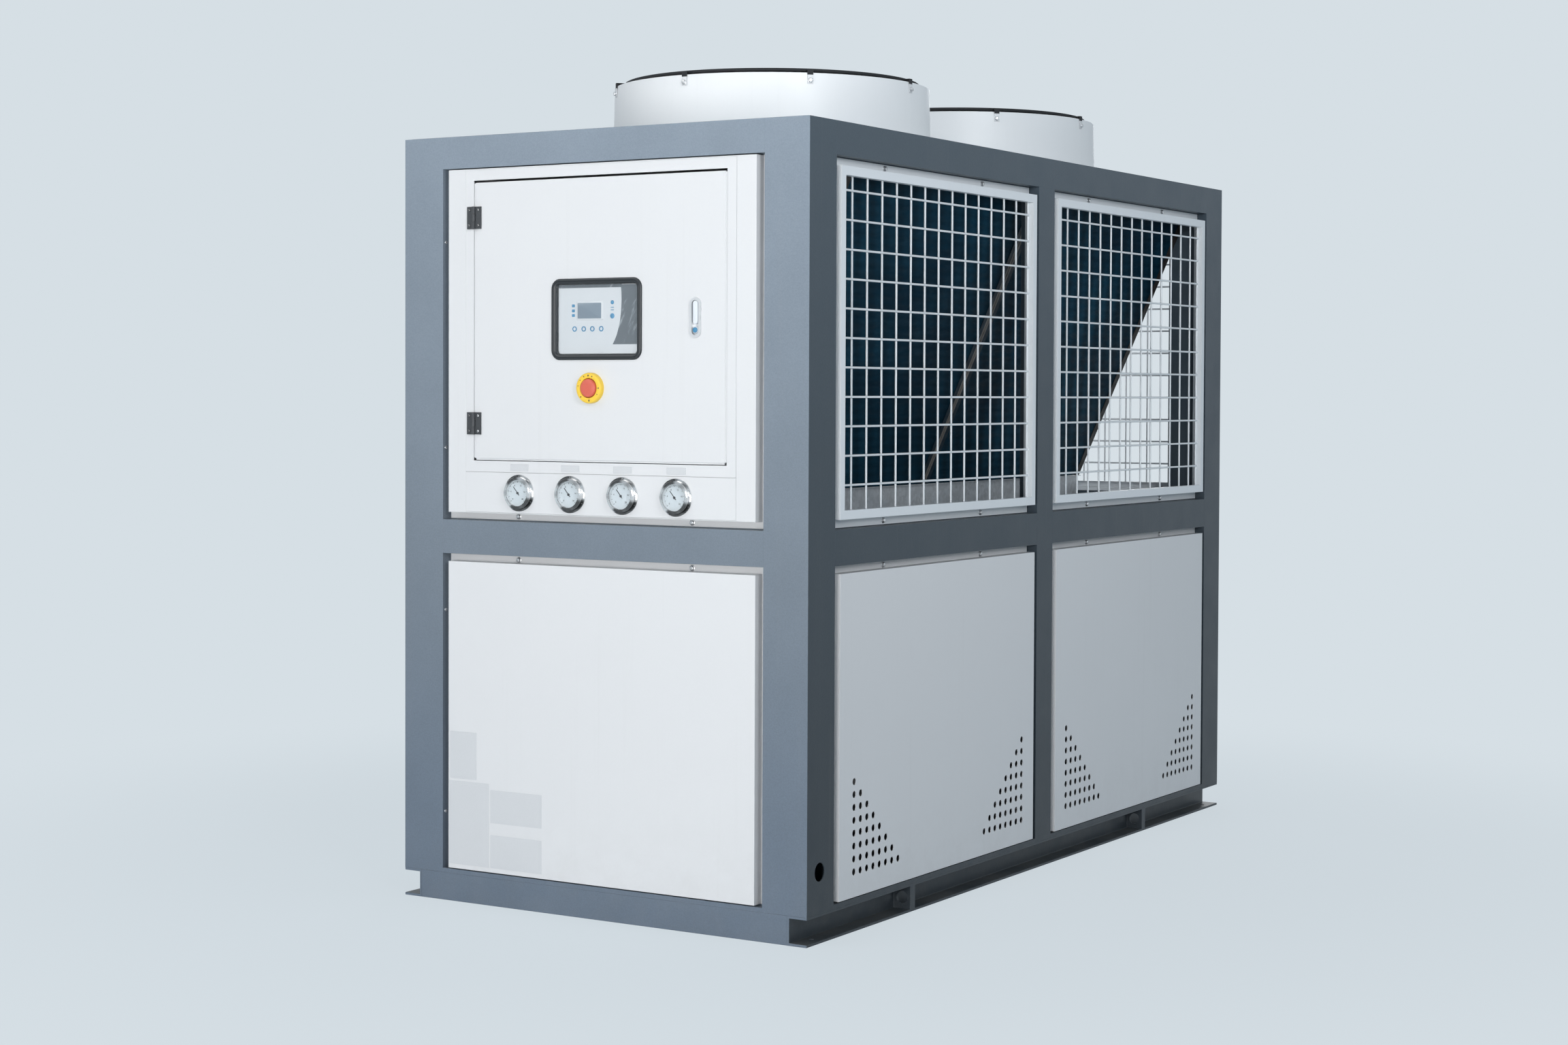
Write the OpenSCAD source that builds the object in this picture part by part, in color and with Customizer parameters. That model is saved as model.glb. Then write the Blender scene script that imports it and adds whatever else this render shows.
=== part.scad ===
// Air cooled water chiller: a box-shaped packaged unit on a channel base, with a V of condenser
// coils behind wire guards, two roof fans and a control cabinet at the front.
// Millimetres. X runs to the right along the front, Y to the back, Z up from the ground.

/* [Overall] */
// Width of the unit across its front
unit_w = 1125; // [1060:5:1300]
// Length of the unit from front to back
unit_l = 2340; // [2240:10:2600]
// Height of the frame's top above the ground
frame_top = 1806; // [1760:2:1900]

/* [Base] */
// Height of the base channels
base_h = 66; // [50:1:80]
// Width of the base channels' flanges
base_flange_w = 45; // [38:1:60]
// Thickness of the base channels
base_t = 6; // [4:0.5:8]
// Number of cross members under the floor
cross_count = 3; // [2:1:6]
// Diameter of the anchor bolt holes
anchor_d = 14; // [10:1:20]
// Distance of the anchor bolt holes from the ends of the base
anchor_end = 60; // [40:5:120]
// Distance of the front lifting plates from the front of the base
lift_front = 468; // [300:2:600]
// Distance of the rear lifting plates from the back of the base
lift_rear = 545; // [300:5:700]
// Diameter of the lifting holes
lift_d = 28; // [16:1:34]
// Width of the lifting plates' folded edge
lift_fold = 22; // [12:1:40]

/* [Frame] */
// Width of the corner posts
post_w = 115; // [90:1:130]
// Width of the middle posts on the long sides
mid_post_w = 90; // [70:1:120]
// Depth of the rails and of the middle posts
rail_d = 50; // [42:1:56]
// Wall thickness of the posts and rails
tube_t = 3; // [2:0.5:5]
// Height of the top rails
top_rail_h = 75; // [60:1:100]
// Height of the middle rails
mid_rail_h = 80; // [60:1:100]
// Height of the middle rails' underside above the ground
mid_rail_z = 825; // [780:5:860]
// Height of the sills on the base
sill_h = 10; // [6:1:20]
// Depth of the panel lips behind the frame's face
lip_depth = 30; // [26:1:34]
// Width of the panel lips
lip_w = 14; // [12:1:15]
// Thickness of the panel lips
lip_t = 3; // [2:0.5:5]
// Diameter of the cable hole in the front right post
cable_d = 42; // [20:1:60]
// Distance of the cable hole from the front
cable_y = 54; // [40:1:70]
// Height of the cable hole above the ground
cable_z = 158; // [120:2:400]

/* [Panels] */
// Thickness of the panels, decks and trays
sheet_t = 2; // [1:0.5:2.5]
// Depth of the raised faces behind the frame's face, below zero where they stand proud
face_depth = -2.5; // [-5:0.5:8]
// Play between a panel's flange and its opening
panel_play = 2; // [1:0.5:3]
// Width of the gap beside a raised face
gap_side = 19; // [14:1:24]
// Width of the screw flange above or below a raised face
gap_screw = 18; // [14:1:26]
// Width of the gap at the end of a panel that has no screws
gap_slim = 3; // [3:0.5:8]
// Diameter of the vent holes in the lower side panels
vent_d = 16; // [8:1:20]
// Pitch of the vent holes
vent_pitch = 29; // [24:1:34]
// Rows of vent holes in each triangle
vent_rows = 8; // [4:1:10]
// Distance of the vent holes from the side of the raised face
vent_edge = 66; // [50:2:90]
// Height of the lowest vent holes above the raised face's lower edge
vent_foot = 57; // [40:1:90]

/* [Wire guards] */
// Distance of a guard's frame from the posts beside it
guard_gap = 17; // [14:1:24]
// Distance of a guard's frame from the rails above and below it
guard_head = 22; // [14:1:28]
// Width of a guard's frame
guard_face_w = 20; // [16:1:30]
// Depth of the return on the inside of a guard's frame
guard_return = 18; // [12:0.5:20]
// Thickness of the guard wires
wire_d = 5; // [3:0.5:6]
// Pitch of the upright wires
wire_pitch_x = 68; // [50:1:90]
// Pitch of the level wires
wire_pitch_z = 65.5; // [50:0.5:90]

/* [Coils] */
// Depth of the control compartment in front of the coils
control_depth = 280; // [270:5:330]
// Distance of the coils from the back of the unit
coil_back = 118; // [100:2:160]
// Thickness of a coil
coil_t = 80; // [50:2:90]
// Length of a coil up its slope
coil_slope = 830; // [780:5:840]
// Lean of the coils from upright
coil_lean = 24; // [20:0.5:24]
// Width of the flanges on the coils' end plates
coil_flange = 26; // [8:1:30]
// Width of the drip tray
tray_w = 305; // [280:5:320]
// Height of the drip tray
tray_h = 60; // [40:2:80]
// Width of the drip tray's rim
tray_rim = 12; // [10:1:20]

/* [Fans] */
// Outer radius of a fan shroud at its rim
shroud_r = 394.5; // [360:0.5:410]
// Height of the fan shrouds above the roof
shroud_h = 157; // [136:1:180]
// Wall thickness of the fan shrouds
shroud_t = 3; // [2:0.5:6]
// Width of the shrouds' foot flange
shroud_foot = 24; // [15:1:40]
// Spread of the shrouds from rim to foot
shroud_spread = 4; // [0:0.5:8]
// Distance of the fans ahead of the coils' middles
fan_lead = 15; // [0:1:30]
// Distance of a fan guard's outer ring from the shroud's rim
guard_inset = 25; // [10:1:40]
// Number of rings in a fan guard
guard_rings = 11; // [6:1:16]
// Number of spokes in a fan guard
guard_spokes = 8; // [6:1:12]
// Thickness of the fan guard's rods
guard_rod = 6; // [3:0.5:7]
// Number of fan blades
blade_count = 5; // [3:1:6]
// Gap between the blade tips and the shroud
tip_gap = 18; // [8:1:40]
// Radius of the fan hub
hub_r = 75; // [68:1:90]
// Height of the fan hub
hub_h = 92; // [84:1:96]
// Angle of the blades to the level
blade_angle = 20; // [10:1:24]
// Thickness of the blades
blade_t = 3; // [2:0.5:5]

/* [Control cabinet] */
// Width of the cabinet front between the two stiles
cabinet_w = 754; // [730:2:780]
// Height of the gauge plate below the cabinet
gauge_plate_h = 94; // [92:1:120]
// Depth of the cabinet behind the frame's face
cabinet_depth = 250; // [200:5:260]
// Width of the cabinet's rim beside the door's gap
rim_w = 24; // [18:1:30]
// Height of the cabinet's rim below the door's gap
rim_foot = 26; // [18:1:34]
// Height of the cabinet's rim above the door's gap
rim_head = 25; // [14:1:30]
// Gap round the door
door_gap = 5; // [5:0.5:7]
// Depth of the door's folded edge
door_fold = 20; // [14:1:22]
// Width of a hinge across both leaves
hinge_w = 40; // [32:1:46]
// Height of a hinge
hinge_h = 52; // [40:1:80]
// Thickness of a hinge leaf
hinge_t = 4; // [3:0.5:5]
// Radius of a hinge knuckle
knuckle_r = 4.7; // [4:0.1:5]
// Radius of a hinge pin
pin_r = 2.5; // [1.5:0.1:3]
// Distance of the hinges from the door's top and bottom
hinge_inset = 82; // [60:1:140]

/* [Door fittings] */
// Width of the window gasket
window_w = 254; // [200:2:300]
// Height of the window gasket
window_h = 188; // [150:2:220]
// Face width of the window gasket
gasket_w = 16; // [12:1:20]
// Corner radius of the window gasket
gasket_r = 24; // [21:1:34]
// Thickness of the window pane
pane_t = 3; // [2:0.5:4]
// Depth of the controller behind the door
controller_depth = 45; // [30:1:60]
// Distance of the lock from the door's middle
lock_x = 270; // [240:2:290]
// Width of the lock's plate
lock_w = 30; // [24:1:40]
// Height of the lock's plate
lock_h = 90; // [70:2:120]
// Distance of the stop button left of the door's middle
stop_x = 14; // [0:1:60]
// Distance of the stop button below the door's middle
stop_z = 157; // [146:1:200]
// Diameter of the stop button's backing disc
stop_disc_d = 70; // [60:1:80]
// Diameter of the stop button's head
stop_head_d = 42; // [36:1:50]
// Travel of the stop button
stop_travel = 5; // [3:0.5:6]

/* [Gauges] */
// Number of pressure gauges
gauge_count = 4; // [2:1:5]
// Pitch of the pressure gauges
gauge_pitch = 146; // [100:1:150]
// Outer diameter of a gauge's flange
gauge_d = 85; // [70:1:88]
// Diameter of a gauge's dial
dial_d = 61; // [50:1:62]

/* [Hidden] */

// Colours of the finishes
frame_grey = "#66727f";
panel_white = "#e6e9ed";
wire_white = "#d5dae0";
galvanised = "#9aa2a8";
fin_navy = "#14202c";
soft_black = "#26292c";

// Clearance of pieces that seat in or against each other
seat = 0.3;
// Cut depth beyond a face, so that a hole is open
over = 1;

hx = unit_w / 2;
hy = unit_l / 2;
floor_z = base_h;
mid_rail_top = mid_rail_z + mid_rail_h;
low_open = [base_h + sill_h, mid_rail_z];
up_open = [mid_rail_top, frame_top - top_rail_h];
end_open = [-(hx - post_w), hx - post_w];
bays = [[-(hy - post_w), -mid_post_w / 2], [mid_post_w / 2, hy - post_w]];
lip_back = lip_depth + lip_t;
flange_depth = lip_depth - sheet_t;
deck_top = mid_rail_top + sheet_t;
roof_top = frame_top + sheet_t;
roof_inset = 12;
roof_seam = 1;
web_in = hx - base_flange_w - base_t;

// Coils and fans
cabinet_clear = 20;
coil_front_y = -hy + max(control_depth, cabinet_depth + cabinet_clear);
coil_rear_y = hy - coil_back;
coil_mid_y = (coil_front_y + coil_rear_y) / 2;
coil_joint = 3;
coil_ends = [
    [coil_front_y, coil_mid_y - coil_joint / 2],
    [coil_mid_y + coil_joint / 2, coil_rear_y]
];
tray_top = deck_top + tray_h;
tray_margin = 2;
tray_end = 14;
tray_dip = 20;
coil_foot_x = tray_w / 2 + tray_rim - tray_margin;
coil_foot_z = tray_top + seat + sheet_t * sin(coil_lean);
coil_head_x = coil_foot_x + coil_slope * sin(coil_lean);
coil_head_z = coil_foot_z + coil_slope * cos(coil_lean);
fan_ys = [for (e = coil_ends) (e[0] + e[1]) / 2 - fan_lead];
shroud_top = roof_top + shroud_h;
shroud_in_r = shroud_r - shroud_t;

// Fan works, measured down from the shroud's rim
hub_drop = 22;
hub_top = shroud_top - hub_drop;
hub_foot = hub_top - hub_h;
hub_cap = 14;
stator_r = 50;
stator_sink = 25;
stator_foot = hub_top - stator_sink;
boss_r = stator_r + 30;
run_gap = 6;
shaft_r = 10;
shaft_play = 0.2;
blade_rise = 24;
blade_z = hub_foot + blade_rise;
blade_camber_r = 400;
blade_tip_r = shroud_in_r - tip_gap;
blade_sink = 5;
paddle_r = blade_tip_r / 3;
paddle_set = 0.95 * paddle_r;
root_w = 1.2 * paddle_r;
guard_tab = [14, 26, 2];
spoke_h = guard_rod + 2;

// Control cabinet front, in face coordinates
pan_foot = up_open[0] + gap_screw;
pan_head = up_open[1] - gap_slim;
gauge_foot = pan_foot + sheet_t + seat;
gauge_head = gauge_foot + gauge_plate_h;
cabinet_foot = gauge_head + 2 * seat;
cabinet_head = pan_head - sheet_t - seat;
door_w = cabinet_w - 2 * (rim_w + door_gap);
door_foot = cabinet_foot + rim_foot + door_gap;
door_head = cabinet_head - rim_head - door_gap;
door_h = door_head - door_foot;
door_mid = (door_foot + door_head) / 2;
cabinet_roof = up_open[1] - lip_w - 2;
hinge_x = -(door_w + door_gap) / 2;
hinge_y = face_depth - knuckle_r - seat;
hinge_zs = [door_foot + hinge_inset, door_head - hinge_inset];
knuckle_h = hinge_h / 3;
knuckle_play = 0.5;
pin_play = 0.2;
window_open = [window_w - 2 * gasket_w, window_h - 2 * gasket_w];
gasket_grip = gasket_w / 2;
gasket_proud = 5;
gasket_tail = 4;
stop_bore_r = 8.3;
stop_neck_r = 8;
stop_barrel_r = 11;
stop_collar = [17, 8];
stop_rest_gap = 5 + stop_travel;
stop_neck = 6;
stop_disc_t = 2;
gauge_xs = [for (i = [0 : gauge_count - 1]) (i - (gauge_count - 1) / 2) * gauge_pitch];
gauge_z = (gauge_foot + gauge_head) / 2;
gauge_case_r = dial_d / 2 - 1;
gauge_flange_t = 3;
bezel_h = 13;
dial_floor = 4;
case_depth = 32;

$fa = 4;
$fs = 1;

// A block between two corners
module block(low, high) {
    translate(low) cube(high - low);
}

// Face coordinates: x across the face from its middle, y into the unit, z up
module on_front() {
    translate([0, -hy, 0]) children();
}

module on_back() {
    rotate([0, 0, 180]) on_front() children();
}

module on_right() {
    translate([hx, 0, 0]) rotate([0, 0, 90]) children();
}

module on_left() {
    translate([-hx, 0, 0]) rotate([0, 0, -90]) children();
}

// An upright outline in face coordinates, given depth from one plane to another
module upright(from, to) {
    translate([0, to, 0]) rotate([90, 0, 0]) linear_extrude(to - from) children();
}

module at_corners() {
    for (mx = [0, 1], my = [0, 1])
        mirror([mx, 0, 0]) mirror([0, my, 0]) children();
}

module both_sides() {
    for (mx = [0, 1]) mirror([mx, 0, 0]) children();
}

// A rectangle with round corners about the origin
module round_rect(size, r) {
    square([size[0] - 2 * r, size[1]], center = true);
    square([size[0], size[1] - 2 * r], center = true);
    for (x = [-1, 1], y = [-1, 1])
        translate([x * (size[0] / 2 - r), y * (size[1] / 2 - r)]) circle(r);
}

// An oblong with half-round ends about the origin
module oblong(w, h) {
    square([w, h - w], center = true);
    for (z = [-1, 1]) translate([0, z * (h - w) / 2]) circle(w / 2);
}

// Base

module lifting_plate(y) {
    difference() {
        block([hx - base_flange_w, y, base_t], [hx, y + base_t, base_h - base_t]);
        translate([hx - base_flange_w / 2, y - over, base_h / 2])
            rotate([-90, 0, 0]) cylinder(d = lift_d, h = base_t + 2 * over);
    }
    block([hx - base_t, y, base_t], [hx, y + lift_fold, base_h - base_t]);
}

module base_side_channels() {
    color(frame_grey) both_sides() difference() {
        union() {
            block([web_in, -hy, 0], [hx - base_flange_w, hy, base_h]);
            for (z = [0, base_h - base_t]) block([web_in, -hy, z], [hx, hy, z + base_t]);
            lifting_plate(-hy + lift_front);
            lifting_plate(hy - lift_rear);
        }
        for (y = [-1, 1]) translate([hx - base_flange_w / 2, y * (hy - anchor_end), -over])
            cylinder(d = anchor_d, h = base_t + 2 * over);
    }
}

module base_end_channels() {
    color(frame_grey) for (my = [0, 1]) mirror([0, my, 0]) {
        block([-web_in, hy - base_t, 0], [web_in, hy, base_h]);
        for (z = [0, base_h - base_t])
            block([-web_in, hy - base_flange_w, z], [web_in, hy, z + base_t]);
    }
}

module base_cross_members() {
    pitch = unit_l / (cross_count + 1);
    color(frame_grey) for (i = [1 : cross_count]) translate([0, -hy + i * pitch, 0]) {
        block([-web_in, 0, base_t], [web_in, base_t, base_h]);
        for (z = [base_t, base_h - base_t])
            block([-web_in, 0, z], [web_in, base_flange_w, z + base_t]);
    }
}

// Frame

module corner_post() {
    difference() {
        block([hx - post_w, hy - post_w, base_h], [hx, hy, frame_top]);
        block([hx - post_w + tube_t, hy - post_w + tube_t, base_h - over],
              [hx - tube_t, hy - tube_t, frame_top - tube_t]);
    }
    for (z = [low_open, up_open]) {
        block([hx - lip_back, hy - post_w - lip_w, z[0]], [hx - lip_depth, hy - post_w, z[1]]);
        block([hx - post_w - lip_w, hy - lip_back, z[0]], [hx - post_w, hy - lip_depth, z[1]]);
    }
}

module corner_posts() {
    color(frame_grey) difference() {
        at_corners() corner_post();
        translate([hx - tube_t - over, -hy + cable_y, cable_z])
            rotate([0, 90, 0]) cylinder(d = cable_d, h = tube_t + 2 * over);
    }
}

module middle_posts() {
    color(frame_grey) both_sides() {
        difference() {
            block([hx - rail_d, -mid_post_w / 2, base_h], [hx, mid_post_w / 2, up_open[1]]);
            block([hx - rail_d + tube_t, -mid_post_w / 2 + tube_t, base_h - over],
                  [hx - tube_t, mid_post_w / 2 - tube_t, up_open[1] + over]);
        }
        for (z = [low_open, up_open], my = [0, 1]) mirror([0, my, 0])
            block([hx - lip_back, mid_post_w / 2, z[0]],
                  [hx - lip_depth, mid_post_w / 2 + lip_w, z[1]]);
    }
}

// A box-section rail across a face, with panel lips for the openings above and below it
module rail(span, z, above, below) {
    difference() {
        block([span[0], 0, z[0]], [span[1], rail_d, z[1]]);
        block([span[0] - over, tube_t, z[0] + tube_t],
              [span[1] + over, rail_d - tube_t, z[1] - tube_t]);
    }
    for (s = above) panel_lip(s, [z[1], z[1] + lip_w]);
    for (s = below) panel_lip(s, [z[0] - lip_w, z[0]]);
}

// The lip along one edge of an opening, between the lips on the posts
module panel_lip(span, z) {
    block([span[0] + lip_w, lip_depth, z[0]], [span[1] - lip_w, lip_back, z[1]]);
}

module top_rails() {
    z = [up_open[1], frame_top];
    side = [bays[0][0], bays[1][1]];
    color(frame_grey) {
        on_front() rail(end_open, z, [], [end_open]);
        on_back() rail(end_open, z, [], [end_open]);
        on_right() rail(side, z, [], bays);
        on_left() rail(side, z, [], bays);
    }
}

module middle_rails() {
    z = [mid_rail_z, mid_rail_top];
    color(frame_grey) {
        on_front() rail(end_open, z, [end_open], [end_open]);
        on_back() rail(end_open, z, [end_open], [end_open]);
        for (bay = bays) {
            on_right() rail(bay, z, [bay], [bay]);
            on_left() rail(bay, z, [bay], [bay]);
        }
    }
}

module sill(span) {
    block([span[0], 0, base_h], [span[1], lip_back, low_open[0]]);
    panel_lip(span, [low_open[0], low_open[0] + lip_w]);
}

module sills() {
    color(frame_grey) {
        on_front() sill(end_open);
        on_back() sill(end_open);
        for (bay = bays) {
            on_right() sill(bay);
            on_left() sill(bay);
        }
    }
}

// A deck inside the frame, cut out round the posts
module deck(z) {
    difference() {
        block([-hx + lip_back, -hy + lip_back, z], [hx - lip_back, hy - lip_back, z + sheet_t]);
        at_corners() block([hx - post_w, hy - post_w, z - over], [hx, hy, z + sheet_t + over]);
        both_sides() block([hx - rail_d, -mid_post_w / 2, z - over],
                           [hx, mid_post_w / 2, z + sheet_t + over]);
    }
}

module floor_deck() {
    color(galvanised) deck(floor_z);
}

module middle_deck() {
    color(galvanised) deck(mid_rail_top);
}

// One roof sheet for each fan, with a seam between them
module roof_deck() {
    ends = [-hy + roof_inset, coil_mid_y, hy - roof_inset];
    color(panel_white) for (i = [0, 1]) difference() {
        block([-hx + roof_inset, ends[i] + i * roof_seam, frame_top],
              [hx - roof_inset, ends[i + 1], roof_top]);
        translate([0, fan_ys[i], frame_top - over])
            cylinder(r = shroud_in_r, h = sheet_t + 2 * over);
    }
}

module drip_tray() {
    y = [coil_front_y - tray_end, coil_rear_y + tray_end];
    color(galvanised) {
        difference() {
            block([-tray_w / 2, y[0], deck_top], [tray_w / 2, y[1], tray_top]);
            block([-tray_w / 2 + sheet_t, y[0] + sheet_t, deck_top + sheet_t],
                  [tray_w / 2 - sheet_t, y[1] - sheet_t, tray_top + over]);
        }
        both_sides() block([tray_w / 2, y[0], tray_top - sheet_t],
                           [tray_w / 2 + tray_rim, y[1], tray_top]);
    }
}

// Panels

// A folded panel in an opening: a flange on the lips and a raised, hollow face.
// Gaps are the distances of the face from the opening's sides, foot and head.
module pan(span, z, gaps) {
    face = [span[0] + gaps[0], span[1] - gaps[0], z[0] + gaps[1], z[1] - gaps[2]];
    difference() {
        union() {
            block([span[0] + panel_play, flange_depth, z[0] + panel_play],
                  [span[1] - panel_play, lip_depth, z[1] - panel_play]);
            block([face[0], face_depth, face[2]], [face[1], lip_depth, face[3]]);
        }
        block([face[0] + sheet_t, face_depth + sheet_t, face[2] + sheet_t],
              [face[1] - sheet_t, lip_depth + over, face[3] - sheet_t]);
    }
}

module plain_panel() {
    pan(end_open, low_open, [gap_side, gap_slim, gap_screw]);
}

// A triangle of vent holes, with its square corner at the origin
module vent_triangle() {
    for (row = [0 : vent_rows - 1], i = [0 : vent_rows - 1 - row])
        translate([i * vent_pitch, face_depth - over, row * vent_pitch])
            rotate([-90, 0, 0]) cylinder(d = vent_d, h = sheet_t + 2 * over);
}

module vented_panel(bay) {
    vent_z = low_open[0] + gap_slim + vent_foot;
    difference() {
        pan(bay, low_open, [gap_side, gap_slim, gap_screw]);
        translate([bay[0] + gap_side + vent_edge, 0, vent_z]) vent_triangle();
        translate([bay[1] - gap_side - vent_edge, 0, vent_z]) mirror([1, 0, 0]) vent_triangle();
    }
}

module front_panel() {
    color(panel_white) on_front() plain_panel();
}

module back_panel() {
    color(panel_white) on_back() plain_panel();
}

module right_panels() {
    color(panel_white) on_right() for (bay = bays) vented_panel(bay);
}

module left_panels() {
    color(panel_white) on_left() for (bay = bays) vented_panel(bay);
}

// A rectangular frame in face coordinates between two insets, across and up, from an opening's edges
module frame_ring(span, z, outer, inner, depth) {
    size = [span[1] - span[0], z[1] - z[0]];
    upright(depth[0], depth[1]) translate([span[0], z[0]]) difference() {
        translate(outer) square(size - 2 * outer);
        translate(inner) square(size - 2 * inner);
    }
}

// A wire guard in an opening: a folded frame that carries a welded mesh
module guard(span) {
    sheet = [sheet_t, sheet_t];
    play = [panel_play, panel_play];
    outer = [guard_gap, guard_head];
    inner = outer + [guard_face_w, guard_face_w];
    back = face_depth + guard_return;
    frame_ring(span, up_open, play, outer + sheet, [flange_depth, lip_depth]);
    frame_ring(span, up_open, outer, outer + sheet, [face_depth, lip_depth]);
    frame_ring(span, up_open, outer, inner, [face_depth, face_depth + sheet_t]);
    frame_ring(span, up_open, inner - sheet, inner, [face_depth, back]);
    // The upright wires lie behind the level ones and are fused to them
    upright_y = back - wire_d / 2;
    level_y = upright_y - wire_d + 1;
    open_x = [span[0] + inner[0] - sheet_t / 2, span[1] - inner[0] + sheet_t / 2];
    open_z = [up_open[0] + inner[1] - sheet_t / 2, up_open[1] - inner[1] + sheet_t / 2];
    // The upright wires are counted from the end nearer the middle of the unit
    near = abs(span[0]) < abs(span[1]) ? 0 : 1;
    way = 1 - 2 * near;
    count = floor((open_x[1] - open_x[0] - wire_pitch_x / 2) / wire_pitch_x);
    xs = concat([open_x[0] + wire_d / 2, open_x[1] - wire_d / 2],
                [for (i = [1 : count]) open_x[near] + way * i * wire_pitch_x]);
    for (x = xs) translate([x, upright_y, open_z[0]])
        cylinder(d = wire_d, h = open_z[1] - open_z[0], $fn = 6);
    for (z = [open_z[1] - wire_pitch_z / 2 : -wire_pitch_z : open_z[0] + wire_pitch_z / 2])
        translate([open_x[0], level_y, z]) rotate([0, 90, 0])
            cylinder(d = wire_d, h = open_x[1] - open_x[0], $fn = 6);
}

module right_guards() {
    color(wire_white) on_right() for (bay = bays) guard(bay);
}

module left_guards() {
    color(wire_white) on_left() for (bay = bays) guard(bay);
}

module back_guard() {
    color(wire_white) on_back() guard(end_open);
}

// Coils

// Coil coordinates: x out of the coil's outer face, z up its slope from its outer lower edge
module on_right_coil() {
    translate([coil_foot_x, 0, coil_foot_z]) rotate([0, coil_lean, 0]) children();
}

module coil_pair() {
    for (e = coil_ends) on_right_coil()
        block([-coil_t, e[0] + sheet_t, 0], [0, e[1] - sheet_t, coil_slope]);
}

module right_coils() {
    color(fin_navy) coil_pair();
}

module left_coils() {
    color(fin_navy) mirror([1, 0, 0]) coil_pair();
}

// A channel-shaped plate over one end of a coil, with the coil lying towards +Y from it
module end_plate() {
    block([-coil_t - sheet_t, 0, 0], [sheet_t, sheet_t, coil_slope]);
    block([0, 0, 0], [sheet_t, coil_flange, coil_slope]);
    block([-coil_t - sheet_t, 0, 0], [-coil_t, coil_flange, coil_slope]);
}

module coil_end_plates() {
    color(galvanised) both_sides() on_right_coil() for (e = coil_ends) {
        translate([0, e[0], 0]) end_plate();
        translate([0, e[1], 0]) mirror([0, 1, 0]) end_plate();
    }
}

module coil_baffles() {
    overlap = coil_t / 2 / cos(coil_lean);
    foot_x = coil_foot_x - overlap;
    head_x = coil_head_x - overlap;
    strip_x = coil_head_x - coil_t / 2 * cos(coil_lean);
    strip_foot = coil_head_z + coil_t / 2 * sin(coil_lean) + sheet_t + seat;
    // Plates that close the V at both ends, from inside the drip tray up to the roof
    color(galvanised) for (y = [coil_front_y - sheet_t, coil_rear_y], mx = [0, 1])
        mirror([mx, 0, 0]) translate([0, y + sheet_t, 0]) rotate([90, 0, 0]) linear_extrude(sheet_t)
            polygon([
                [0, tray_top - tray_dip], [foot_x, tray_top - tray_dip], [foot_x, coil_foot_z],
                [head_x, coil_head_z], [strip_x, strip_foot], [strip_x, frame_top], [0, frame_top]
            ]);
    // Strips that close the gap between the coils and the roof
    color(galvanised) both_sides()
        block([strip_x - sheet_t, coil_front_y + seat, strip_foot],
              [strip_x, coil_rear_y - seat, frame_top]);
}

// Fans

module fan_shroud(y) {
    foot_r = shroud_r + shroud_spread;
    translate([0, y, roof_top]) rotate_extrude($fn = 96) polygon([
        [foot_r - shroud_t, 0], [foot_r + shroud_foot, 0], [foot_r + shroud_foot, shroud_t],
        [foot_r, shroud_t], [shroud_r, shroud_h], [shroud_in_r, shroud_h]
    ]);
}

module fan_shroud_front() {
    color(panel_white) fan_shroud(fan_ys[0]);
}

module fan_shroud_rear() {
    color(panel_white) fan_shroud(fan_ys[1]);
}

// A wire guard of rings on spokes, hooked over the shroud's rim
module fan_guard(y) {
    pitch = (shroud_r - guard_inset - boss_r) / guard_rings;
    tab_w = guard_tab[0];
    tab_drop = guard_tab[1];
    tab_t = guard_tab[2];
    tab_x = shroud_r + shroud_spread * tab_drop / shroud_h + seat;
    tab_reach = tab_x + tab_t - shroud_in_r + tab_w;
    translate([0, y, shroud_top]) {
        cylinder(r = boss_r, h = spoke_h);
        for (i = [1 : guard_rings]) rotate_extrude($fn = 96)
            translate([boss_r + i * pitch - guard_rod, spoke_h - 1]) square(guard_rod);
        for (i = [0 : guard_spokes - 1]) rotate(i * 360 / guard_spokes) {
            translate([boss_r - over, -guard_rod / 2, 0])
                cube([tab_x + tab_t - boss_r + over, guard_rod, spoke_h]);
            translate([tab_x + tab_t - tab_reach, -tab_w / 2, spoke_h - tab_t])
                cube([tab_reach, tab_w, tab_t]);
            translate([tab_x, -tab_w / 2, -tab_drop]) cube([tab_t, tab_w, tab_drop + spoke_h]);
        }
    }
}

module fan_guard_front() {
    color(soft_black) fan_guard(fan_ys[0]);
}

module fan_guard_rear() {
    color(soft_black) fan_guard(fan_ys[1]);
}

// The fixed half of each fan's motor hangs from the guard's boss
module fan_motors() {
    color(soft_black) for (y = fan_ys) translate([0, y, 0]) {
        translate([0, 0, stator_foot]) cylinder(r = stator_r, h = shroud_top - stator_foot);
        translate([0, 0, hub_foot + hub_cap + seat])
            cylinder(r = shaft_r, h = stator_foot - hub_foot - hub_cap);
    }
}

// One paddle-shaped blade along +X: a cambered sheet cut to its outline
module fan_blade() {
    camber = blade_camber_r * [-sin(blade_angle), cos(blade_angle)];
    intersection() {
        rotate([90, 0, 90]) linear_extrude(blade_tip_r) translate(camber) difference() {
            circle(blade_camber_r + blade_t / 2, $fn = 180);
            circle(blade_camber_r - blade_t / 2, $fn = 180);
        }
        translate([0, 0, -blade_tip_r / 2]) linear_extrude(blade_tip_r) intersection() {
            circle(blade_tip_r, $fn = 180);
            union() {
                translate([blade_tip_r - paddle_set, 0]) circle(paddle_r);
                translate([hub_r - blade_sink, -root_w / 2])
                    square([blade_tip_r - paddle_r - hub_r + blade_sink, root_w]);
            }
        }
    }
}

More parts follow.
